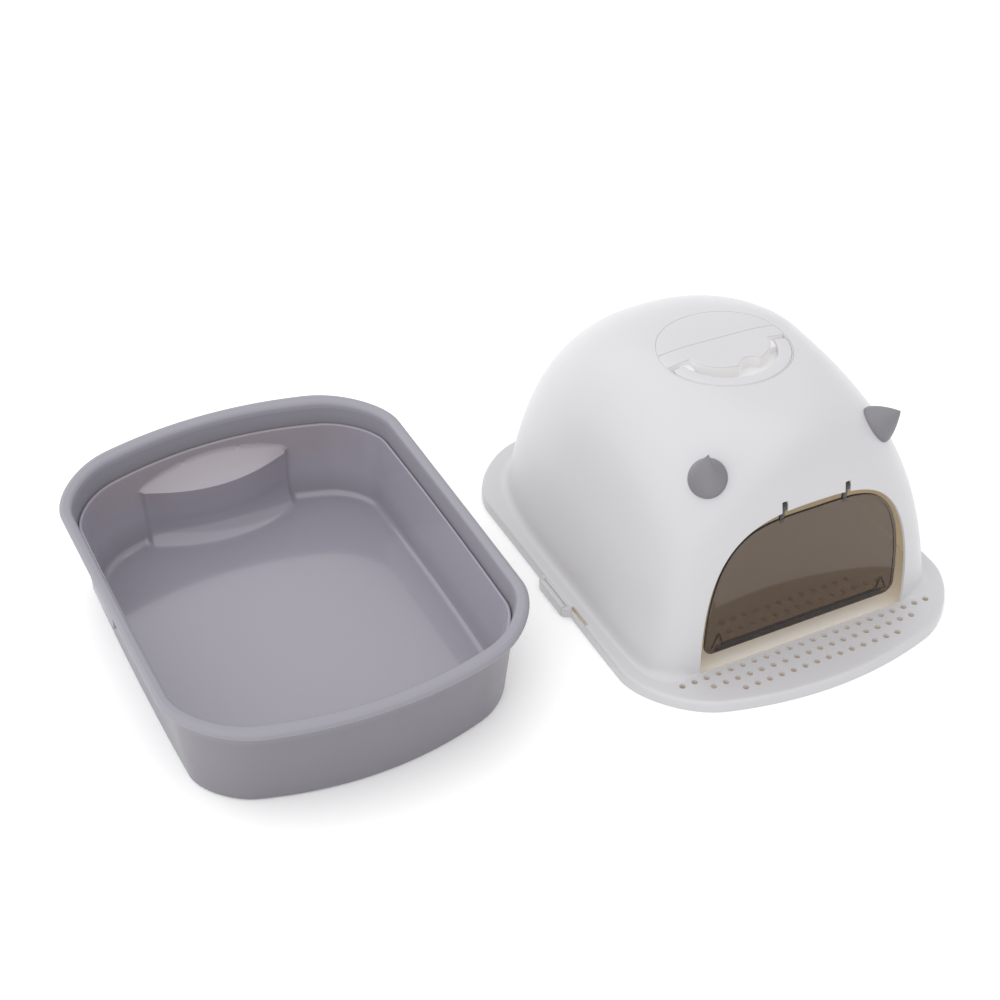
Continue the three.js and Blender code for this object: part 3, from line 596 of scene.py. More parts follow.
tray = {
    "height": 112.5, "floor": 2.5, "wall": 2.8, "rimDrop": 6.0, "rimWidth": 14.5, "topHalfWidth": 172.5,
    "keeperFront": -20.0, "keeperRear": 45.0, "keeperBottom": 95.0,
}
pocket = {
    "centreX": -5.0, "halfWidth": 74.0, "endY": 210.0, "middleY": 187.0,
    "deckUnder": 17.5, "deckTop": 19.9, "ceiling": 60.0, "skinTop": 62.4, "skin": 2.4,
    "rearFrom": 120,
}


def pocketFace(x, grow):
    # plan line of the pocket: a parabola from its ends to its middle, moved inwards by grow
    u = (x - pocket["centreX"]) / (pocket["halfWidth"] + grow)
    return pocket["endY"] - grow + (pocket["middleY"] - pocket["endY"]) * (1 - u ** 2)


def ramp(value, start, end):
    share = np.clip((value - start) / (end - start), 0, 1)
    return share * share * (3 - 2 * share)


def trayPocket(grid, inside):
    # outside, the wall steps in to the pocket's face above and below its deck; inside, the same face bulges
    # out
    x, y, z = grid[..., 0], grid[..., 1], grid[..., 2]
    reach = np.abs(x - pocket["centreX"]) - pocket["halfWidth"]
    aboveDeck = ramp(z, pocket["deckTop"] - 0.2, pocket["deckTop"] + 0.6)
    finger = aboveDeck * ramp(z, pocket["ceiling"] + 0.8, pocket["ceiling"] - 0.8)
    under = ramp(z, pocket["deckUnder"] + 0.2, pocket["deckUnder"] - 0.6)
    cut = np.maximum(finger, under) * ramp(reach, 0.5, -1.5) * (y > pocket["rearFrom"])
    outer = y + (np.minimum(pocketFace(x, 0), y) - y) * cut
    skin = pocket["skin"]
    belowTop = ramp(z, pocket["skinTop"] + 1, pocket["skinTop"] - 1)
    bulge = belowTop * ramp(reach, skin + 1, skin - 2) * (y > pocket["rearFrom"])
    inner = y + (np.minimum(pocketFace(x, skin), y) - y) * bulge
    grid = grid.copy()
    grid[..., 1] = np.where(inside[:, None], inner, outer)
    return grid


def buildTray():
    base, rim, height = plan["base"]["halfWidth"], plan["rim"]["halfWidth"], tray["height"]
    underRim, inner = height - tray["rimDrop"], rim - tray["rimWidth"]
    wallTop = tray["topHalfWidth"]
    outside = filletPath([
        (base - 6, 0), (base - 0.6, 0, 4), (wallTop - 0.4, underRim - 4.6, 0.5),
        (wallTop + 1.5, underRim - 4.2, 0.4),
        (wallTop + 1.7, underRim, 0.6), (rim - 1.6, underRim, 1.4), (rim + 0.2, height - 1.5, 3.2),
        (rim - 5.4, height + 0.2, 3.4), (rim - 8, height - 0.1),
    ], 6)
    steps = np.concatenate([
        np.linspace(6, 16.6, 4), pocket["deckUnder"] + np.linspace(-0.7, 0.3, 5),
        pocket["deckTop"] + np.linspace(-0.3, 0.7, 5), np.linspace(24, 57, 8),
        pocket["ceiling"] + np.linspace(-0.9, 0.9, 7), np.linspace(66, 99, 6),
    ])
    low = outside[outside[:, 1] < 5.5]
    high = outside[outside[:, 1] > 101]
    slope = (wallTop - base) / (underRim - 6)
    wall = np.stack([base + (steps - 6) * slope, steps], -1)
    inside = filletPath([
        (rim - 8, height - 0.1), (inner + 1.4, height - 0.4, 5), (inner - 0.2, height - 7, 3),
        (base - tray["wall"] + 0.3, tray["floor"], 8), (base - 24, tray["floor"]),
    ], 7, longest=3.2)[1:]
    section = np.vstack([low, wall, high, inside])
    parts = [planSolid(section, trayPocket)]
    for side in (-1, 1):
        edges = sorted([side * (wallTop + 1), side * (rim - 0.6)])
        parts.append(roundedBlock(
            (edges[0], tray["keeperFront"], tray["keeperBottom"]),
            (edges[1], tray["keeperRear"], underRim + 1), 1.2))
    makePiece("trayShell", parts, [trayPlastic], "tray", ["tray"])


pan = {
    "lipHeight": 89.0, "lipHalfWidth": 167.0, "wallHalfWidth": 166.2, "footHalfWidth": 157.4, "wall": 2.2,
    "bottom": 2.8, "bulgeGrow": 5.1, "bulgeTop": 65.2, "footFillet": 25.0, "softness": 8.0,
    "rearFrom": 110,
}


def softMin(a, b, softness):
    return (a + b - np.sqrt((a - b) ** 2 + softness ** 2)) / 2


def panBulge(grid, inside):
    # the rear wall follows the tray's grip pocket: a soft minimum of the plain wall and the bulge's face,
    # whose
    # foot runs out to the floor in a large fillet and whose top and ends fall back steeply
    x, y, z = grid[..., 0], grid[..., 1], grid[..., 2]
    grow = np.where(inside[:, None], pan["bulgeGrow"], pan["bulgeGrow"] - pan["wall"])
    fillet = pan["footFillet"]
    above = np.clip(fillet - (z - pan["bottom"] - pan["wall"]), 0, fillet)
    foot = (fillet - np.sqrt(fillet ** 2 - above ** 2)) * inside[:, None]
    top = pan["bulgeTop"] - np.where(inside[:, None], 0, pan["wall"])
    ends = np.maximum(np.abs(x - pocket["centreX"]) - pocket["halfWidth"] - grow, 0)
    face = pocketFace(x, grow) - foot + 3.2 * np.maximum(z - top, 0) + 1.8 * ends
    shaped = np.where(y > pan["rearFrom"], softMin(y, np.maximum(face, 100), pan["softness"]), y)
    settle = np.where(y > pan["rearFrom"], np.clip((face - y) / 12, 0, 1), 0)
    grid = grid.copy()
    grid[..., 1] = shaped + (y - shaped) * settle
    return grid


def buildPan():
    bottom, wall, lip = pan["bottom"], pan["wall"], pan["lipHeight"]
    foot, top, edge = pan["footHalfWidth"], pan["wallHalfWidth"], pan["lipHalfWidth"]
    section = filletPath([
        (foot - 8, bottom), (foot - 0.4, bottom, 4), (top, lip - 3, 0.6), (edge, lip - 2.6, 0.8),
        (edge, lip, 0.8),
        (edge - 2.6, lip, 0.9), (top - wall, lip - 3, 1.5), (foot - wall - 0.2, bottom + wall, 7),
        (foot - 30, bottom + wall),
    ], 6, longest=2.6)
    deck = np.linspace(pan["bulgeTop"] + 8, pan["bulgeTop"] - 4, 26)
    after = np.arange(len(section)) > section[:, 1].argmax()
    near = after & (section[:, 1] < deck[0] + 0.5) & (section[:, 1] > deck[-1] - 0.5)
    inner = section[after][::-1]
    rows = np.stack([np.interp(deck, inner[:, 1], inner[:, 0]), deck], -1)
    first = np.flatnonzero(near)[0]
    section = np.vstack([section[:first], rows, section[np.flatnonzero(near)[-1] + 1:]])
    makePiece("innerPan", [planSolid(section, panBulge)], [panPlastic], "pan", ["inner_pan"])


buildTray()
buildPan()
print("tray and pan made")


# ---- hood: level curves of the dome, flared into the flange, then trimmed

dome = {
    "height": 252.0, "crestY": 24.0, "wall": 2.6,
    "halfWidth": 169.3, "taper": 0.062, "sideRise": 1.68, "sideRound": 0.227,
    "frontReach": 204.5, "frontRise": 4.15, "frontRound": 0.087, "frontPower": 9.1,
    "rearReach": 205.0, "rearRise": 3.26, "rearRound": 0.5, "rearPower": 3.8, "crownPower": 2.0,
}
flange = {
    "halfWidth": 187.75, "halfLength": 251.0, "radius": 72.0, "bow": 46.0, "centreY": flangeCentreY,
    "height": 12.0, "edge": 4.0, "fillet": 9.0,
}
door = {"halfWidth": 119.5, "top": 183.0, "sidePower": 3.0, "topPower": 2.75, "front": -100.0}
hinge = {"x": 35.5, "y": -170.0, "z": 187.0, "notchHalf": 3.1, "notchTop": 192.7, "lug": 5.0,
         "pinRadius": 1.5, "pinLength": 13.6}
mark = {"x": 43.0, "z": 200.5, "half": 3.0, "footHalf": 2.6, "taper": 0.28}
holes = {"radius": 3.3, "pitch": 13.7, "rows": [(-187.5, 22), (-201.0, 18), (-216.0, 14)]}
seat = {"y": 1.2, "radius": 68.1, "seam": 0.3, "floorTop": 238.8, "floor": 2.6, "bottom": 229.0,
        "backY": -2.6}
latch = {
    "centreY": -9.0, "length": 47.0, "pinX": 192.6, "pinZ": 8.6, "outerX": 195.8, "eye": 3.6,
    "slotFrom": -68.5, "slotTo": -37.0, "slotDepth": 4.6, "slotBottom": 8.2,
    "toothX": 182.6, "pinRadius": 1.2, "pinBeyond": 7,
}


def domeLevel(t, direction):
    # point of the level curve at height share t: a squarish oval whose reach and squareness differ front
    # and rear
    d = dome
    def swell(rise, roundness):
        return np.clip(1 - t ** rise, 0, 1) ** roundness
    cosine, sine = np.cos(direction), np.sin(direction)
    width = d["halfWidth"] * swell(d["sideRise"], d["sideRound"]) * (1 - d["taper"] * t)
    ahead = sine < 0
    reach = np.where(ahead, d["frontReach"] * swell(d["frontRise"], d["frontRound"]),
                     d["rearReach"] * swell(d["rearRise"], d["rearRound"]))
    power = np.where(ahead, d["frontPower"], d["rearPower"])
    power = power + (d["crownPower"] - power) * t
    size = (np.abs(cosine) ** power + np.abs(sine) ** power) ** (-1 / power)
    return cosine * size * width, d["crestY"] + sine * size * reach


def domeHeight(x, y):
    # height of the dome over a plan point, by halving the height share until its level curve passes there
    d = dome
    ahead = y < d["crestY"]
    low, high = np.zeros(np.shape(x)), np.ones(np.shape(x))
    for _ in range(34):
        t = (low + high) / 2
        width = d["halfWidth"] * (1 - t ** d["sideRise"]) ** d["sideRound"] * (1 - d["taper"] * t)
        reach = np.where(ahead, d["frontReach"] * (1 - t ** d["frontRise"]) ** d["frontRound"],
                         d["rearReach"] * (1 - t ** d["rearRise"]) ** d["rearRound"])
        power = np.where(ahead, d["frontPower"], d["rearPower"])
        power = power + (d["crownPower"] - power) * t
        inside = np.abs(x / width) ** power + np.abs((y - d["crestY"]) / reach) ** power < 1
        low, high = np.where(inside, t, low), np.where(inside, high, t)
    return low * d["height"]


def domeNormal(x, y):
    step = 0.5
    slopeX = (domeHeight(x + step, y) - domeHeight(x - step, y)) / (2 * step)
    slopeY = (domeHeight(x, y + step) - domeHeight(x, y - step)) / (2 * step)
    normal = np.array([-slopeX, -slopeY, 1.0])
    return normal / np.linalg.norm(normal)


def flangeReach(inset, bearing):
    # distance from the dome's middle to the flange's outline at each bearing, read off a finely drawn outline
    shareX, shareY, angle = roundFrame(160, 300, 300)
    width, length, radius = (flange[k] - inset for k in ("halfWidth", "halfLength", "radius"))
    x = shareX * (width - radius) + radius * np.cos(angle)
    y = shareY * (length - radius) + radius * np.sin(angle)
    y = y * (1 - flange["bow"] / length * (x / width) ** 2) + flange["centreY"] - dome["crestY"]
    around = np.arctan2(y, x)
    order = np.argsort(around)
    return np.interp(bearing, around[order], np.hypot(x, y)[order], period=2 * np.pi)


def hoodDirections():
    # close together across the doorway and the step, wider apart along the sides and round the rear
    across = np.linspace(-1, 1, 196)
    beside = np.linspace(-1, 0, 46)[1:]
    front = np.arctan2(-1, across)
    right = np.arctan2(beside, 1)
    rear = np.linspace(0, np.pi, 110)[1:-1]
    left = -np.pi - right[::-1]
    return np.concatenate([front, right, rear, np.pi * 2 + left])


def hoodSurface():
    direction = hoodDirections()
    height, base = dome["height"], flange["height"]
    footX, footY = domeLevel(base / height, direction)
    bearing = np.arctan2(footY - dome["crestY"], footX)
    outward = np.stack([np.cos(bearing), np.sin(bearing)], -1)
    near = np.maximum(np.abs(footX) - door["halfWidth"] - 3, 0) + np.maximum(footY + 150, 0)
    fillet = 0.4 + (flange["fillet"] - 0.4) * ramp(near, 0, 16)
    rows = []

    def addRing(x, y, z):
        rows.append(np.stack([x, y, z + x * 0], -1))

    def addFlangeRing(inset, z):
        reach = flangeReach(inset, bearing)
        addRing(reach * outward[:, 0], dome["crestY"] + reach * outward[:, 1], z)

    edge = flange["edge"]
    for z in np.linspace(0, base - edge, 4)[:-1]:
        addFlangeRing(0, z)
    for turn in np.linspace(0, np.pi / 2, 8)[:-1]:
        addFlangeRing(edge * (1 - np.cos(turn)), base - edge * (1 - np.sin(turn)))
    far = flangeReach(edge, bearing)
    nearFoot = np.hypot(footX, footY - dome["crestY"]) + fillet
    for share in np.linspace(0, 1, 38)[:-1]:
        reach = far + (nearFoot - far) * share
        addRing(reach * outward[:, 0], dome["crestY"] + reach * outward[:, 1], base)
    for turn in np.linspace(0, np.pi / 2, 7)[:-1]:
        z = base + fillet * (1 - np.cos(turn))
        x, y = domeLevel(z / height, direction)
        out = fillet * (1 - np.sin(turn))
        addRing(x + out * outward[:, 0], y + out * outward[:, 1], z)
    start, shoulder = base + flange["fillet"], 196
    levels = np.concatenate([np.linspace(start, 174, 46), np.linspace(176, shoulder, 13)])
    for z in levels:
        z = base + fillet + (z - start) * (height - base - fillet) / (height - start)
        x, y = domeLevel(z / height, direction)
        addRing(x, y, z)
    widest = (1 - (shoulder / height) ** dome["sideRise"]) ** dome["sideRound"]
    for share in np.linspace(widest, 0.1, 30)[1:]:
        t = (1 - share ** (1 / dome["sideRound"])) ** (1 / dome["sideRise"])
        x, y = domeLevel(t, direction)
        addRing(x, y, height * t)
    crownX, crownY = rows[-1][:, 0], rows[-1][:, 1] - dome["crestY"]
    for share in np.linspace(1, 0.3, 14)[1:]:
        addRing(crownX * share, dome["crestY"] + crownY * share, rows[-1][0, 2])
    return np.array(rows)


def hoodField(points):
    # positive on the shell: outside the doorway, the hinge notches and the small windows over them, the
    # holes,
    # the pry slots and the seat's hole
    x, y, z = points.T
    base = flange["height"]
    rise = np.clip((z - base) / (door["top"] - base), 0, None)
    arch = np.abs(x / door["halfWidth"]) ** door["sidePower"] + rise ** door["topPower"] - 1
    doorway = np.where((z > base + 0.2) & (y < door["front"]), arch * 60, 50)
    aside = np.abs(np.abs(x) - hinge["x"]) - hinge["notchHalf"]
    notch = np.maximum(np.maximum(aside, z - hinge["notchTop"]), (door["top"] - 12) - z)
    notch = np.where(y < door["front"], notch, 50)
    seatHole = np.where(z > 200, np.hypot(x, y - seat["y"]) - seat["radius"] - seat["seam"], 50)
    overMark = z - mark["z"] + mark["half"]
    window = np.abs(np.abs(x) - mark["x"]) - mark["footHalf"] + mark["taper"] * overMark
    window = np.where(y < door["front"], np.maximum(window, np.abs(z - mark["z"]) - mark["half"]), 50)
    field = np.minimum(np.minimum(doorway, notch), np.minimum(seatHole, window))
    for rowY, count in holes["rows"]:
        edge = (count - 1) / 2
        nearest = np.clip(np.round(x / holes["pitch"] - edge) + edge, -edge, edge) * holes["pitch"]
        hole = np.where(z > base - 1, np.hypot(x - nearest, y - rowY) - holes["radius"], 50)
        field = np.minimum(field, hole)
    middle, half = (latch["slotFrom"] + latch["slotTo"]) / 2, (latch["slotTo"] - latch["slotFrom"]) / 2
    slot = np.maximum(np.abs(y - middle) - half, flange["halfWidth"] - latch["slotDepth"] - np.abs(x))
    slot = np.where(z < 20, np.maximum(slot, latch["slotBottom"] - z), 50)
    return np.minimum(field, slot)


def hoodFittings():
    # hinge bosses behind the wall, and for each latch a pad on the skirt between two tapered cheeks that
    # hold its pin
    parts = []
    inner, outer = hinge["lug"] / 2 + 0.6, hinge["pinLength"] / 2 + 0.2
    for centre in (-hinge["x"], hinge["x"]):
        for side in (-1, 1):
            edges = sorted([centre + side * inner, centre + side * outer])
            parts.append(roundedBlock((edges[0], hinge["y"] - 3, hinge["z"] - 3.6),
                                      (edges[1], hinge["y"] + 3.4, hinge["z"] + 4), 0.8))
    half, skirt, face = latch["length"] / 2, flange["halfWidth"] - 1.5, latch["outerX"] - 0.8
    for side in (-1, 1):
        edges = sorted([side * skirt, side * (latch["pinX"] - latch["eye"] - 0.2)])
        parts.append(roundedBlock((edges[0], latch["centreY"] - half - 0.4, 1),
                                  (edges[1], latch["centreY"] + half + 0.4, 11.4), 0.6))
        for end in (-1, 1):
            start = latch["centreY"] + end * (half + 0.5)
            corners = [(side * skirt, start, 0.3), (side * face, start, 0.3),
                       (side * face, start + end * 1.6, 1.0),
                       (side * skirt, start + end * 7, 0.6)]
            wedge = filletPath(corners if side * end > 0 else corners[::-1], 4, closed=True)
            parts.append(outlineSolid(wedge, plateProfile(1, 11.4, 1.0)))
    return parts


def buildHood():
    grid = hoodSurface()
    rows, columns = grid.shape[:2]
    points, faces = trimSurface(grid.reshape(-1, 3), gridQuads(rows, columns), hoodField)
    shell, outerFaces = thickened(points, faces, dome["wall"])
    inside = np.arange(faceCount(shell)) >= outerFaces
    # the inner faces take the inside material, whose tan colour and glow are painted light
    makePiece("hoodShell", [moved(shell, hoodPlace)], [hoodPlastic, hoodInsidePaintedLight], "hood",
              ["hood_shell"], sharpAngle=38, faceSlots=inside)
    fittings = [moved(part, hoodPlace) for part in hoodFittings()]
    makePiece("hoodFittings", fittings, [hoodPlastic], "hood", ["hood_shell"])
    print("hood shell:", len(points), "points on its outer face")


buildHood()


# ---- crown: the seat let into the hood, and the bail that lies in it

island = {"x": 3.0, "y": 1.0, "halfWidth": 45.0, "depth": 35.0, "notchX": 10.0, "notchRadius": 13.0}
bail = {
    "outer": 66.4, "inner": 53.0, "halfWidth": 64.2, "bottom": 240.0, "backY": -8.6, "pivotY": -10.6,
    "pivotZ": 243.4, "knuckle": 4.4, "knuckleFrom": 54.2, "knuckleTo": 64.0, "pinRadius": 1.9, "pinX": 58.2,
    "pinLength": 17.0, "blockFrom": 42.0, "blockTo": 53.2,
}
crease = {"left": 19.0, "right": 15.5}


def seatArc(fromY, toY, radius, steps, side):
    # points of the seat's rim on one side, from one height in plan to another
    angle = np.linspace(np.arcsin((fromY - seat["y"]) / radius), np.arcsin((toY - seat["y"]) / radius), steps)
    return np.stack([side * radius * np.cos(angle), seat["y"] + radius * np.sin(angle)], -1)


def crownSurface(x, y):
    return np.minimum(domeHeight(x, y), dome["height"])


def islandEdge():
    # front edge of the island from its right end to its left: an ellipse with a round bite for the fingers
    i = island
    angle = -np.linspace(0.06, np.pi - 0.06, 90)
    edge = np.stack([i["x"] + i["halfWidth"] * np.cos(angle), i["y"] + i["depth"] * np.sin(angle)], -1)
    bite = np.array([i["notchX"], i["y"] - i["depth"] - 3])
    away = edge - bite
    distance = np.linalg.norm(away, axis=1, keepdims=True)
    lift = np.sqrt(np.maximum(i["notchRadius"] ** 2 - away[:, :1] ** 2, 0))
    inBite = (np.abs(away[:, :1]) < i["notchRadius"]) & (distance < i["notchRadius"] + 0.01)
    return np.where(inBite, np.concatenate([edge[:, :1], bite[1] + lift], 1), edge)


def smoothOutline(outline, rounds=2):
    # rounds off the corners of a dense outline by averaging each point with its neighbours
    for _ in range(rounds):
        outline = (np.roll(outline, 1, 0) + 2 * outline + np.roll(outline, -1, 0)) / 4
    return outline


plateClosing = (0.93, 0.85, 0.75, 0.64, 0.52, 0.4, 0.27, 0.13)
plateSideStrip = len(plateClosing) + 4    # strips of a plate below and including its upright side


def crownPlate(outline, bottom, edge, middle):
    # plate whose top follows the dome; heights of -1000 and below are plain heights
    profile = plateProfile(bottom - 1000, 0, edge)
    half = len(profile) // 2
    profile[half:, 1] = -edge * (1 - np.sin(np.linspace(0, np.pi / 2, half)))
    return outlineSolid(outline, profile, middle=middle, surface=crownSurface, closing=plateClosing)


def buildSeat():
    radius, back = seat["radius"], seat["backY"]
    rightY, leftY = crease["right"], crease["left"]
    rearAngle = np.linspace(np.arcsin((rightY + 0.3 - seat["y"]) / radius),
                            np.pi - np.arcsin((leftY + 0.3 - seat["y"]) / radius), 90)
    rearArc = np.stack([radius * np.cos(rearAngle), seat["y"] + radius * np.sin(rearAngle)], -1)
    line = rearArc[-1] + (rearArc[0] - rearArc[-1]) * np.linspace(0, 1, 50)[1:-1, None]
    rear = smoothOutline(np.vstack([rearArc, line]), 1)
    rightArc = seatArc(back, rightY, radius, 12, 1)
    leftArc = seatArc(leftY, back, radius, 9, -1)
    top = rightArc[-1] + (leftArc[0] - rightArc[-1]) * np.linspace(0, 1, 50)[1:-1, None]
    edge = islandEdge()
    shoulder = np.linspace(0, 1, 8)[1:-1, None]
    leftLine = leftArc[-1] + (np.array([edge[-1, 0], back]) - leftArc[-1]) * shoulder
    rightLine = np.array([edge[0, 0], back]) + (rightArc[0] - np.array([edge[0, 0], back])) * shoulder
    middlePlate = smoothOutline(np.vstack([rightArc, top, leftArc, leftLine, edge[::-1], rightLine]), 2)
    wallTurn = np.linspace(0, 2 * np.pi, 160, endpoint=False)
    wall = np.stack([np.cos(wallTurn), np.sin(wallTurn)], -1)
    parts = [
        crownPlate(rear, seat["floorTop"] - 1, 0.5, (0, 38)),
        crownPlate(middlePlate, seat["floorTop"] - 1, 0.8, (1.5, 4)),
        outlineSolid(wall * (radius - 0.6) + (0, seat["y"]),
                     plateProfile(seat["floorTop"] - seat["floor"], seat["floorTop"], 0.3),
                     middle=(0, seat["y"])),
        rimWall(radius - 1.3, radius),
    ]
    for side in (-1, 1):
        edges = sorted([side * bail["blockFrom"], side * bail["blockTo"]])
        parts.append(roundedBlock((edges[0], bail["pivotY"] - 4, seat["floorTop"] - 1),
                                  (edges[1], back + 1, bail["pivotZ"] + 3), 1.4))
    parts = [moved(part, hoodPlace) for part in parts]
    # the base plate, the pivot blocks and the recess wall take the seat-well material, whose stronger glow is
    # painted light lifting the recess's shade
    slots = slotsByPart(parts, [0, 0, 1, 0, 1, 1])
    # the front plate's upright side is the wall of the recess
    start, around = faceCount(parts[0]), len(middlePlate)
    strip = np.arange(faceCount(parts[1])) // around
    slots[start:start + len(strip)] = strip <= plateSideStrip
    makePiece("handleSeat", parts, [hoodPlastic, seatWellPaintedLight], "hood", ["handle_seat"],
              sharpAngle=50, faceSlots=slots)


def rimWall(inner, outer):
    # thin upright wall round the seat, its top following the dome
    turn = np.linspace(0, 2 * np.pi, 200, endpoint=False)
    edge = 0.4
    radii = np.array([inner, outer, outer, outer - edge, inner + edge, inner])
    x = radii[:, None] * np.cos(turn)
    y = seat["y"] + radii[:, None] * np.sin(turn)
    top = crownSurface(x, y)
    follows = np.array([0, 0, 1, 1, 1, 1])[:, None]
    z = np.array([seat["bottom"], seat["bottom"], 0, 0, 0, 0])[:, None] + top * follows
    z = z - np.array([0, 0, edge, 0, 0, edge])[:, None]
    grid = np.stack([x, y, z], -1)
    return grid.reshape(-1, 3), [gridQuads(7, 200) % (6 * 200)]


def bailBand():
    # rounded section carried round the front of the seat between two square-cut ends, its top following the
    # dome
    b, edge = bail, 1.3
    turn = np.linspace(0, np.pi / 2, 5)
    inwards = edge * (1 - np.cos(turn))
    upwards = edge * (1 - np.sin(turn))
    radii = np.concatenate([b["outer"] - edge + edge * np.sin(turn), b["outer"] - inwards,
                            b["inner"] + inwards[::-1], b["inner"] + edge - edge * np.sin(turn[::-1])])
    atTop = np.concatenate([turn * 0, turn * 0 + 1, turn * 0 + 1, turn * 0])
    offset = np.concatenate([edge * (1 - np.cos(turn)), -upwards, -upwards[::-1],
                             edge * (1 - np.cos(turn[::-1]))])
    bandLength, endDepth = 190, 1.1
    nearEnd = np.array([0, 0.15, 0.4, 0.8, 1.3])
    share = np.concatenate([nearEnd / bandLength, np.linspace(0.02, 0.98, 100),
                            1 - nearEnd[::-1] / bandLength])
    tuck = np.clip(1.0 - np.minimum(share, 1 - share) * bandLength / edge, 0, 1)
    tuck = endDepth * (1 - np.sqrt(1 - tuck ** 2))
    middle = (b["inner"] + b["outer"]) / 2
    radii = radii[None, :] + (middle - radii[None, :]) * (tuck[:, None] / 6.7)
    end = np.arcsin((b["backY"] - seat["y"]) / radii)
    angle = (-np.pi - end) + (end - (-np.pi - end)) * share[:, None]
    x, y = np.clip(radii * np.cos(angle), -b["halfWidth"], b["halfWidth"]), seat["y"] + radii * np.sin(angle)
    z = np.where(atTop > 0, crownSurface(x, y) - tuck[:, None], b["bottom"] + tuck[:, None]) + offset
    return ringStack(np.stack([x, y, z], -1)[:, ::-1])


def buildBail():
    parts = [bailBand()]
    for side in (-1, 1):
        centre = side * (bail["knuckleFrom"] + bail["knuckleTo"]) / 2
        parts.append(roundRod((centre, bail["pivotY"], bail["pivotZ"]), "x", bail["knuckle"],
                              bail["knuckleTo"] - bail["knuckleFrom"], 40, 0.6))
    parts = [moved(part, hoodPlace) for part in parts]
    makePiece("carryBail", parts, [hoodPlastic], "handle", ["carry_handle"], sharpAngle=50)


buildSeat()
buildBail()
print("seat and bail made")


# ---- ears

ear = {"x": 95.6, "y": -129.5, "radius": 19.4, "height": 27.0, "stem": 5.0, "stemLength": 12.0, "tip": 0.4,
       "ring": 11.0, "ringDepth": 6.6, "left": (20.0, 2.4, 2.5), "right": (-1.4, 0.0, 2.0)}


def earFrame(side):
    x, y = side * ear["x"], ear["y"]
    normal = domeNormal(x, y)
    slope = np.array([0, 0, 1.0]) - normal[2] * normal
    slope /= np.linalg.norm(slope)
    return np.array([x, y, float(domeHeight(x, y))]), normal, slope, np.cross(slope, normal)


def buildEar(name, side):
    # circles that shrink to a blunt tip along the dome's normal, their middles leaning up the slope
    place, normal, slope, across = earFrame(side)
    up, sideways, onset = ear["left"] if side < 0 else ear["right"]
    tau = 1 - (1 - np.linspace(0, 1, 40)) ** 1.8
    radius = ear["radius"] * np.clip(1 - tau ** 1.4, 0, 1) ** 0.95 + ear["tip"]
    leaning = tau ** onset
    distance = np.concatenate([[-3.2, -1.0], ear["height"] * tau[1:]])
    leaning = np.concatenate([[0, 0], leaning[1:]])
    radius = np.concatenate([[ear["radius"], ear["radius"]], np.minimum(radius[1:], ear["radius"])])
    turn = np.linspace(0, 2 * np.pi, 72, endpoint=False)[None, :, None]
    centres = place + distance[:, None] * normal + leaning[:, None] * (up * slope + sideways * across)
    grid = centres[:, None] + radius[:, None, None] * (np.cos(turn) * across + np.sin(turn) * slope)
    stemDistance = np.array([-ear["stemLength"], -ear["stemLength"] + 0.5, -2.0])
    stemRadius = np.array([ear["stem"] - 0.5, ear["stem"], ear["stem"]])
    stem = (place + stemDistance[:, None] * normal)[:, None] + stemRadius[:, None, None] * (
        np.cos(turn) * across + np.sin(turn) * slope)
    parts = [moved(ringStack(grid), hoodPlace), moved(ringStack(stem), hoodPlace)]
    makePiece("ear_" + name, parts, [earPlastic], "hood", ["ear_" + name], sharpAngle=60)
    depth = ear["ringDepth"]
    profile = filletPath([(ear["stem"] + 0.3, -depth - 3, 0.5), (ear["ring"], -depth - 3, 0.8),
                          (ear["ring"], -depth, 0.8), (ear["stem"] + 0.3, -depth, 0.5)], 4, closed=True)
    ring = moved(turnedRing(profile, place, normal), hoodPlace)
    makePiece("earRing_" + name, [ring], [pinPlastic], "hood", ["ear_ring_" + name])


for name, side in (("left", -1), ("right", 1)):
    buildEar(name, side)
print("ears made")


# ---- flap

flap = {"halfWidth": 111.5, "top": 171.5, "bottom": 24.0, "corner": 12.0, "thickness": 2.0, "border": 3.0,
        "sidePower": 4.2, "topPower": 2.76, "borderRise": 0.7, "barTop": 33.5, "barHalf": 98.0,
        "tipX": 95.0, "tipZ": 49.0, "middleZ": 92}


def archOutline(halfWidth, top, bottom, corner):
    # |x/a|^p + |z/h|^q = 1 above the step, its points spread evenly by angle, with round corners at the foot
    angle = np.linspace(0, np.pi, 241)
    sidePower, topPower, base = flap["sidePower"], flap["topPower"], flange["height"]
    size = (np.abs(np.cos(angle)) ** sidePower + np.sin(angle) ** topPower) ** (-1 / sidePower)
    share = np.clip(np.cos(angle) * size, -1, 1)
    x, z = share * halfWidth, base + (top - base) * (1 - np.abs(share) ** sidePower) ** (1 / topPower)
    arch = np.stack([x, z], -1)[z > bottom + corner]
    turn = np.linspace(0, np.pi / 2, 12)
    reach = arch[0, 0]
    left = np.stack([-reach + corner * (1 - np.cos(turn)), bottom + corner * (1 - np.sin(turn))], -1)
    right = np.stack([reach - corner * (1 - np.cos(turn)), bottom + corner * (1 - np.sin(turn))], -1)[::-1]
    foot = left[-1] + (right[0] - left[-1]) * np.linspace(0, 1, 60)[1:-1, None]
    return np.vstack([arch, left, foot, right])


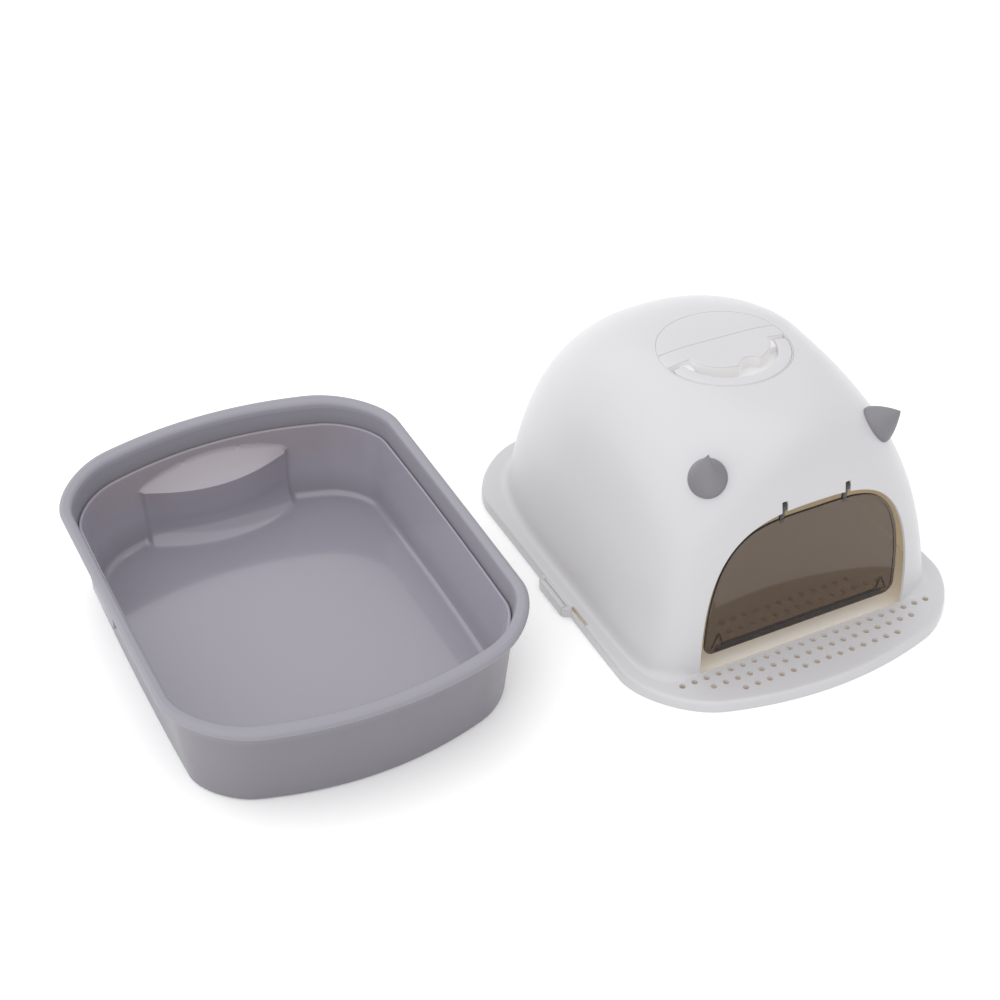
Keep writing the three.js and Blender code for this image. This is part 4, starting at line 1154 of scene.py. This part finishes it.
def buildFlap():
    half = flap["thickness"] / 2
    outline = archOutline(flap["halfWidth"], flap["top"], flap["bottom"], flap["corner"])
    border, rise, closing = flap["border"], flap["borderRise"], (0.7, 0.4, 0.15)
    profile = filletPath([
        (border + 1, -half), (0, -half, 0.6), (0, half + rise, 0.5), (border, half + rise, 0.4),
        (border + 0.5, half, 0.3), (border + 3, half),
    ], 4)
    panel = outlineSolid(outline, profile, xzPlane, (0, flap["middleZ"]), closing)
    # the outer edge and the foot of the border show dark, like every thick or edge-on part of smoked plastic
    inset = (profile[:-1, 0] + profile[1:, 0]) / 2
    strip = np.arange(faceCount(panel)) // len(outline) - len(closing)
    onBorder = (strip >= 0) & (strip < len(inset))
    edgeOn = (inset < 0.7) | (np.abs(inset - border - 0.25) < 0.45)
    darkPanel = onBorder & edgeOn[np.clip(strip, 0, len(inset) - 1)]

    bar, tipX, tipZ, barX = flap["barTop"], flap["tipX"], flap["tipZ"], flap["barHalf"]
    rib = filletPath([(-barX - 5, bar - 3), (-tipX, tipZ, 0.8), (-tipX + 4.5, bar, 3.0),
                      (tipX - 4.5, bar, 3.0),
                      (tipX, tipZ, 0.8), (barX + 5, bar - 3)], 6, longest=4)
    path = np.stack([rib[:, 0], rib[:, 0] * 0 - half, rib[:, 1]], -1)
    parts = [panel, ribAlong(path, (0, -1.0, 0), 1.5, 1.2)]
    parts.append(roundedBlock((-barX, -half - 1.4, flap["bottom"] + 1), (barX, -half + 0.6, bar - 1.2), 0.9))
    foot = flap["top"] - 6 - hinge["z"]
    lug = filletPath([(-1.2, foot, 0.6), (1.6, foot, 0.6), (1.8, -3, 1.0), (3.7, 0.5, 2.4), (-0.5, 4.3, 1.8),
                      (-3.3, 2.8, 1.2), (-4.3, 0.4, 1.4), (-4.1, -4.4, 1.0), (-1.6, -5.6, 1.2)], 4,
                      closed=True)
    for x in (-hinge["x"], hinge["x"]):
        plate = outlineSolid(lug, plateProfile(-hinge["lug"] / 2, hinge["lug"] / 2, 0.6), yzPlane, (-1, 0))
        parts.append(moved(plate, (x, 0, hinge["z"])))
    slots = np.concatenate([darkPanel, slotsByPart(parts[1:], [1, 1, 1, 1])])
    place = hoodPlace + (0, hinge["y"], 0)
    makePiece("smokedFlap", [moved(part, place) for part in parts], [smokedPlastic, smokedEdge], "flap",
              ["flap"], faceSlots=slots)


buildFlap()
print("flap made")


# ---- latches and pins

def buildLatch(name, side):
    # section in x and z carried along the hood's long side, with a tooth that reaches under the tray's rim
    pinX, pinZ, outer, eye = latch["pinX"], latch["pinZ"], latch["outerX"], latch["eye"]
    half = latch["length"] / 2
    corners = [(pinX - eye, 0.6, 0.5), (outer, 0.6, 1.2), (outer, 11.6, 1.6), (pinX + 0.5, 12.0, 1.5),
               (pinX - eye + 0.4, pinZ + 1.5, 2.0)]
    if side < 0:
        corners = [(-x, z, radius) for x, z, radius in corners[::-1]]
    outline = filletPath(corners, 5, closed=True)
    body = outlineSolid(outline, plateProfile(-half, half, 0.8), xzPlane)
    edges = sorted([side * latch["toothX"], side * (pinX - eye + 1)])
    tooth = roundedBlock((edges[0], -half + 4, 0.6), (edges[1], half - 4, 3.2), 0.6)
    place = hoodPlace + (0, latch["centreY"], 0)
    makePiece("latchClip_" + name, [moved(body, place), moved(tooth, place)], [hoodPlastic],
              "latch_" + name, ["latch_" + name])


for name, side in (("left", -1), ("right", 1)):
    buildLatch(name, side)
    pins = {
        "handlePin_": ("handle_pin_", (side * bail["pinX"], bail["pivotY"], bail["pivotZ"]), "x",
                       bail["pinRadius"], bail["pinLength"]),
        "flapPin_": ("flap_pin_", (side * hinge["x"], hinge["y"], hinge["z"]), "x", hinge["pinRadius"],
                     hinge["pinLength"]),
        "latchPin_": ("latch_pin_", (side * latch["pinX"], latch["centreY"], latch["pinZ"]), "y",
                      latch["pinRadius"], latch["length"] + latch["pinBeyond"]),
    }
    for pieceName, (nodeName, centre, axis, radius, length) in pins.items():
        rod = moved(roundRod(centre, axis, radius, length), hoodPlace)
        makePiece(pieceName + name, [rod], [pinPlastic], "hood", [nodeName + name])
print("latches and pins made")


# ---- camera, floor and light

view = {"target": (0.28151, 0.09975, 0.0), "azimuth": -26.48, "elevation": 38.61, "distance": 2.16631,
        "lens": 71.14}
studio = {"floorSize": 14.0, "floorColour": (0.96, 0.96, 0.96, 1), "skyStrength": 1.00,
          "skyColour": (1, 1, 1, 1),
          "sunStrength": 1.85, "sunSpread": 120.0, "sunTilt": (-10.0, -34.0)}


def addCamera():
    azimuth, elevation = math.radians(view["azimuth"]), math.radians(view["elevation"])
    back = np.array([math.sin(azimuth) * math.cos(elevation), -math.cos(azimuth) * math.cos(elevation),
                     math.sin(elevation)])
    camera = bpy.data.objects.new("camera", bpy.data.cameras.new("camera"))
    camera.data.lens = view["lens"]
    camera.data.sensor_width = 36
    camera.data.clip_end = 50
    camera.location = np.array(view["target"]) + back * view["distance"]
    camera.rotation_euler = (math.radians(90) - elevation, 0, azimuth)
    bpy.context.scene.collection.objects.link(camera)
    bpy.context.scene.camera = camera


def addFloor():
    half = studio["floorSize"] / 2
    mesh = bpy.data.meshes.new("floor")
    mesh.from_pydata([(-half, -half, 0), (half, -half, 0), (half, half, 0), (-half, half, 0)], [],
                     [(0, 1, 2, 3)])
    material = bpy.data.materials.new("floorPaper")
    material.use_nodes = True
    shader = material.node_tree.nodes["Principled BSDF"]
    shader.inputs["Base Color"].default_value = studio["floorColour"]
    shader.inputs["Roughness"].default_value = 0.9
    shader.inputs["Specular IOR Level"].default_value = 0.1
    mesh.materials.append(material)
    floor = bpy.data.objects.new("floor", mesh)
    bpy.context.scene.collection.objects.link(floor)


def addLight():
    scene = bpy.context.scene
    world = bpy.data.worlds.new("studio")
    world.use_nodes = True
    background = world.node_tree.nodes["Background"]
    background.inputs["Color"].default_value = studio["skyColour"]
    background.inputs["Strength"].default_value = studio["skyStrength"]
    scene.world = world
    sun = bpy.data.objects.new("softbox", bpy.data.lights.new("softbox", "SUN"))
    sun.data.energy = studio["sunStrength"]
    sun.data.angle = math.radians(studio["sunSpread"])
    sun.rotation_euler = (math.radians(studio["sunTilt"][0]), math.radians(studio["sunTilt"][1]), 0)
    scene.collection.objects.link(sun)
    scene.view_settings.view_transform = "Standard"
    scene.view_settings.look = "None"


addCamera()
addFloor()
addLight()
print("camera, floor and light made")
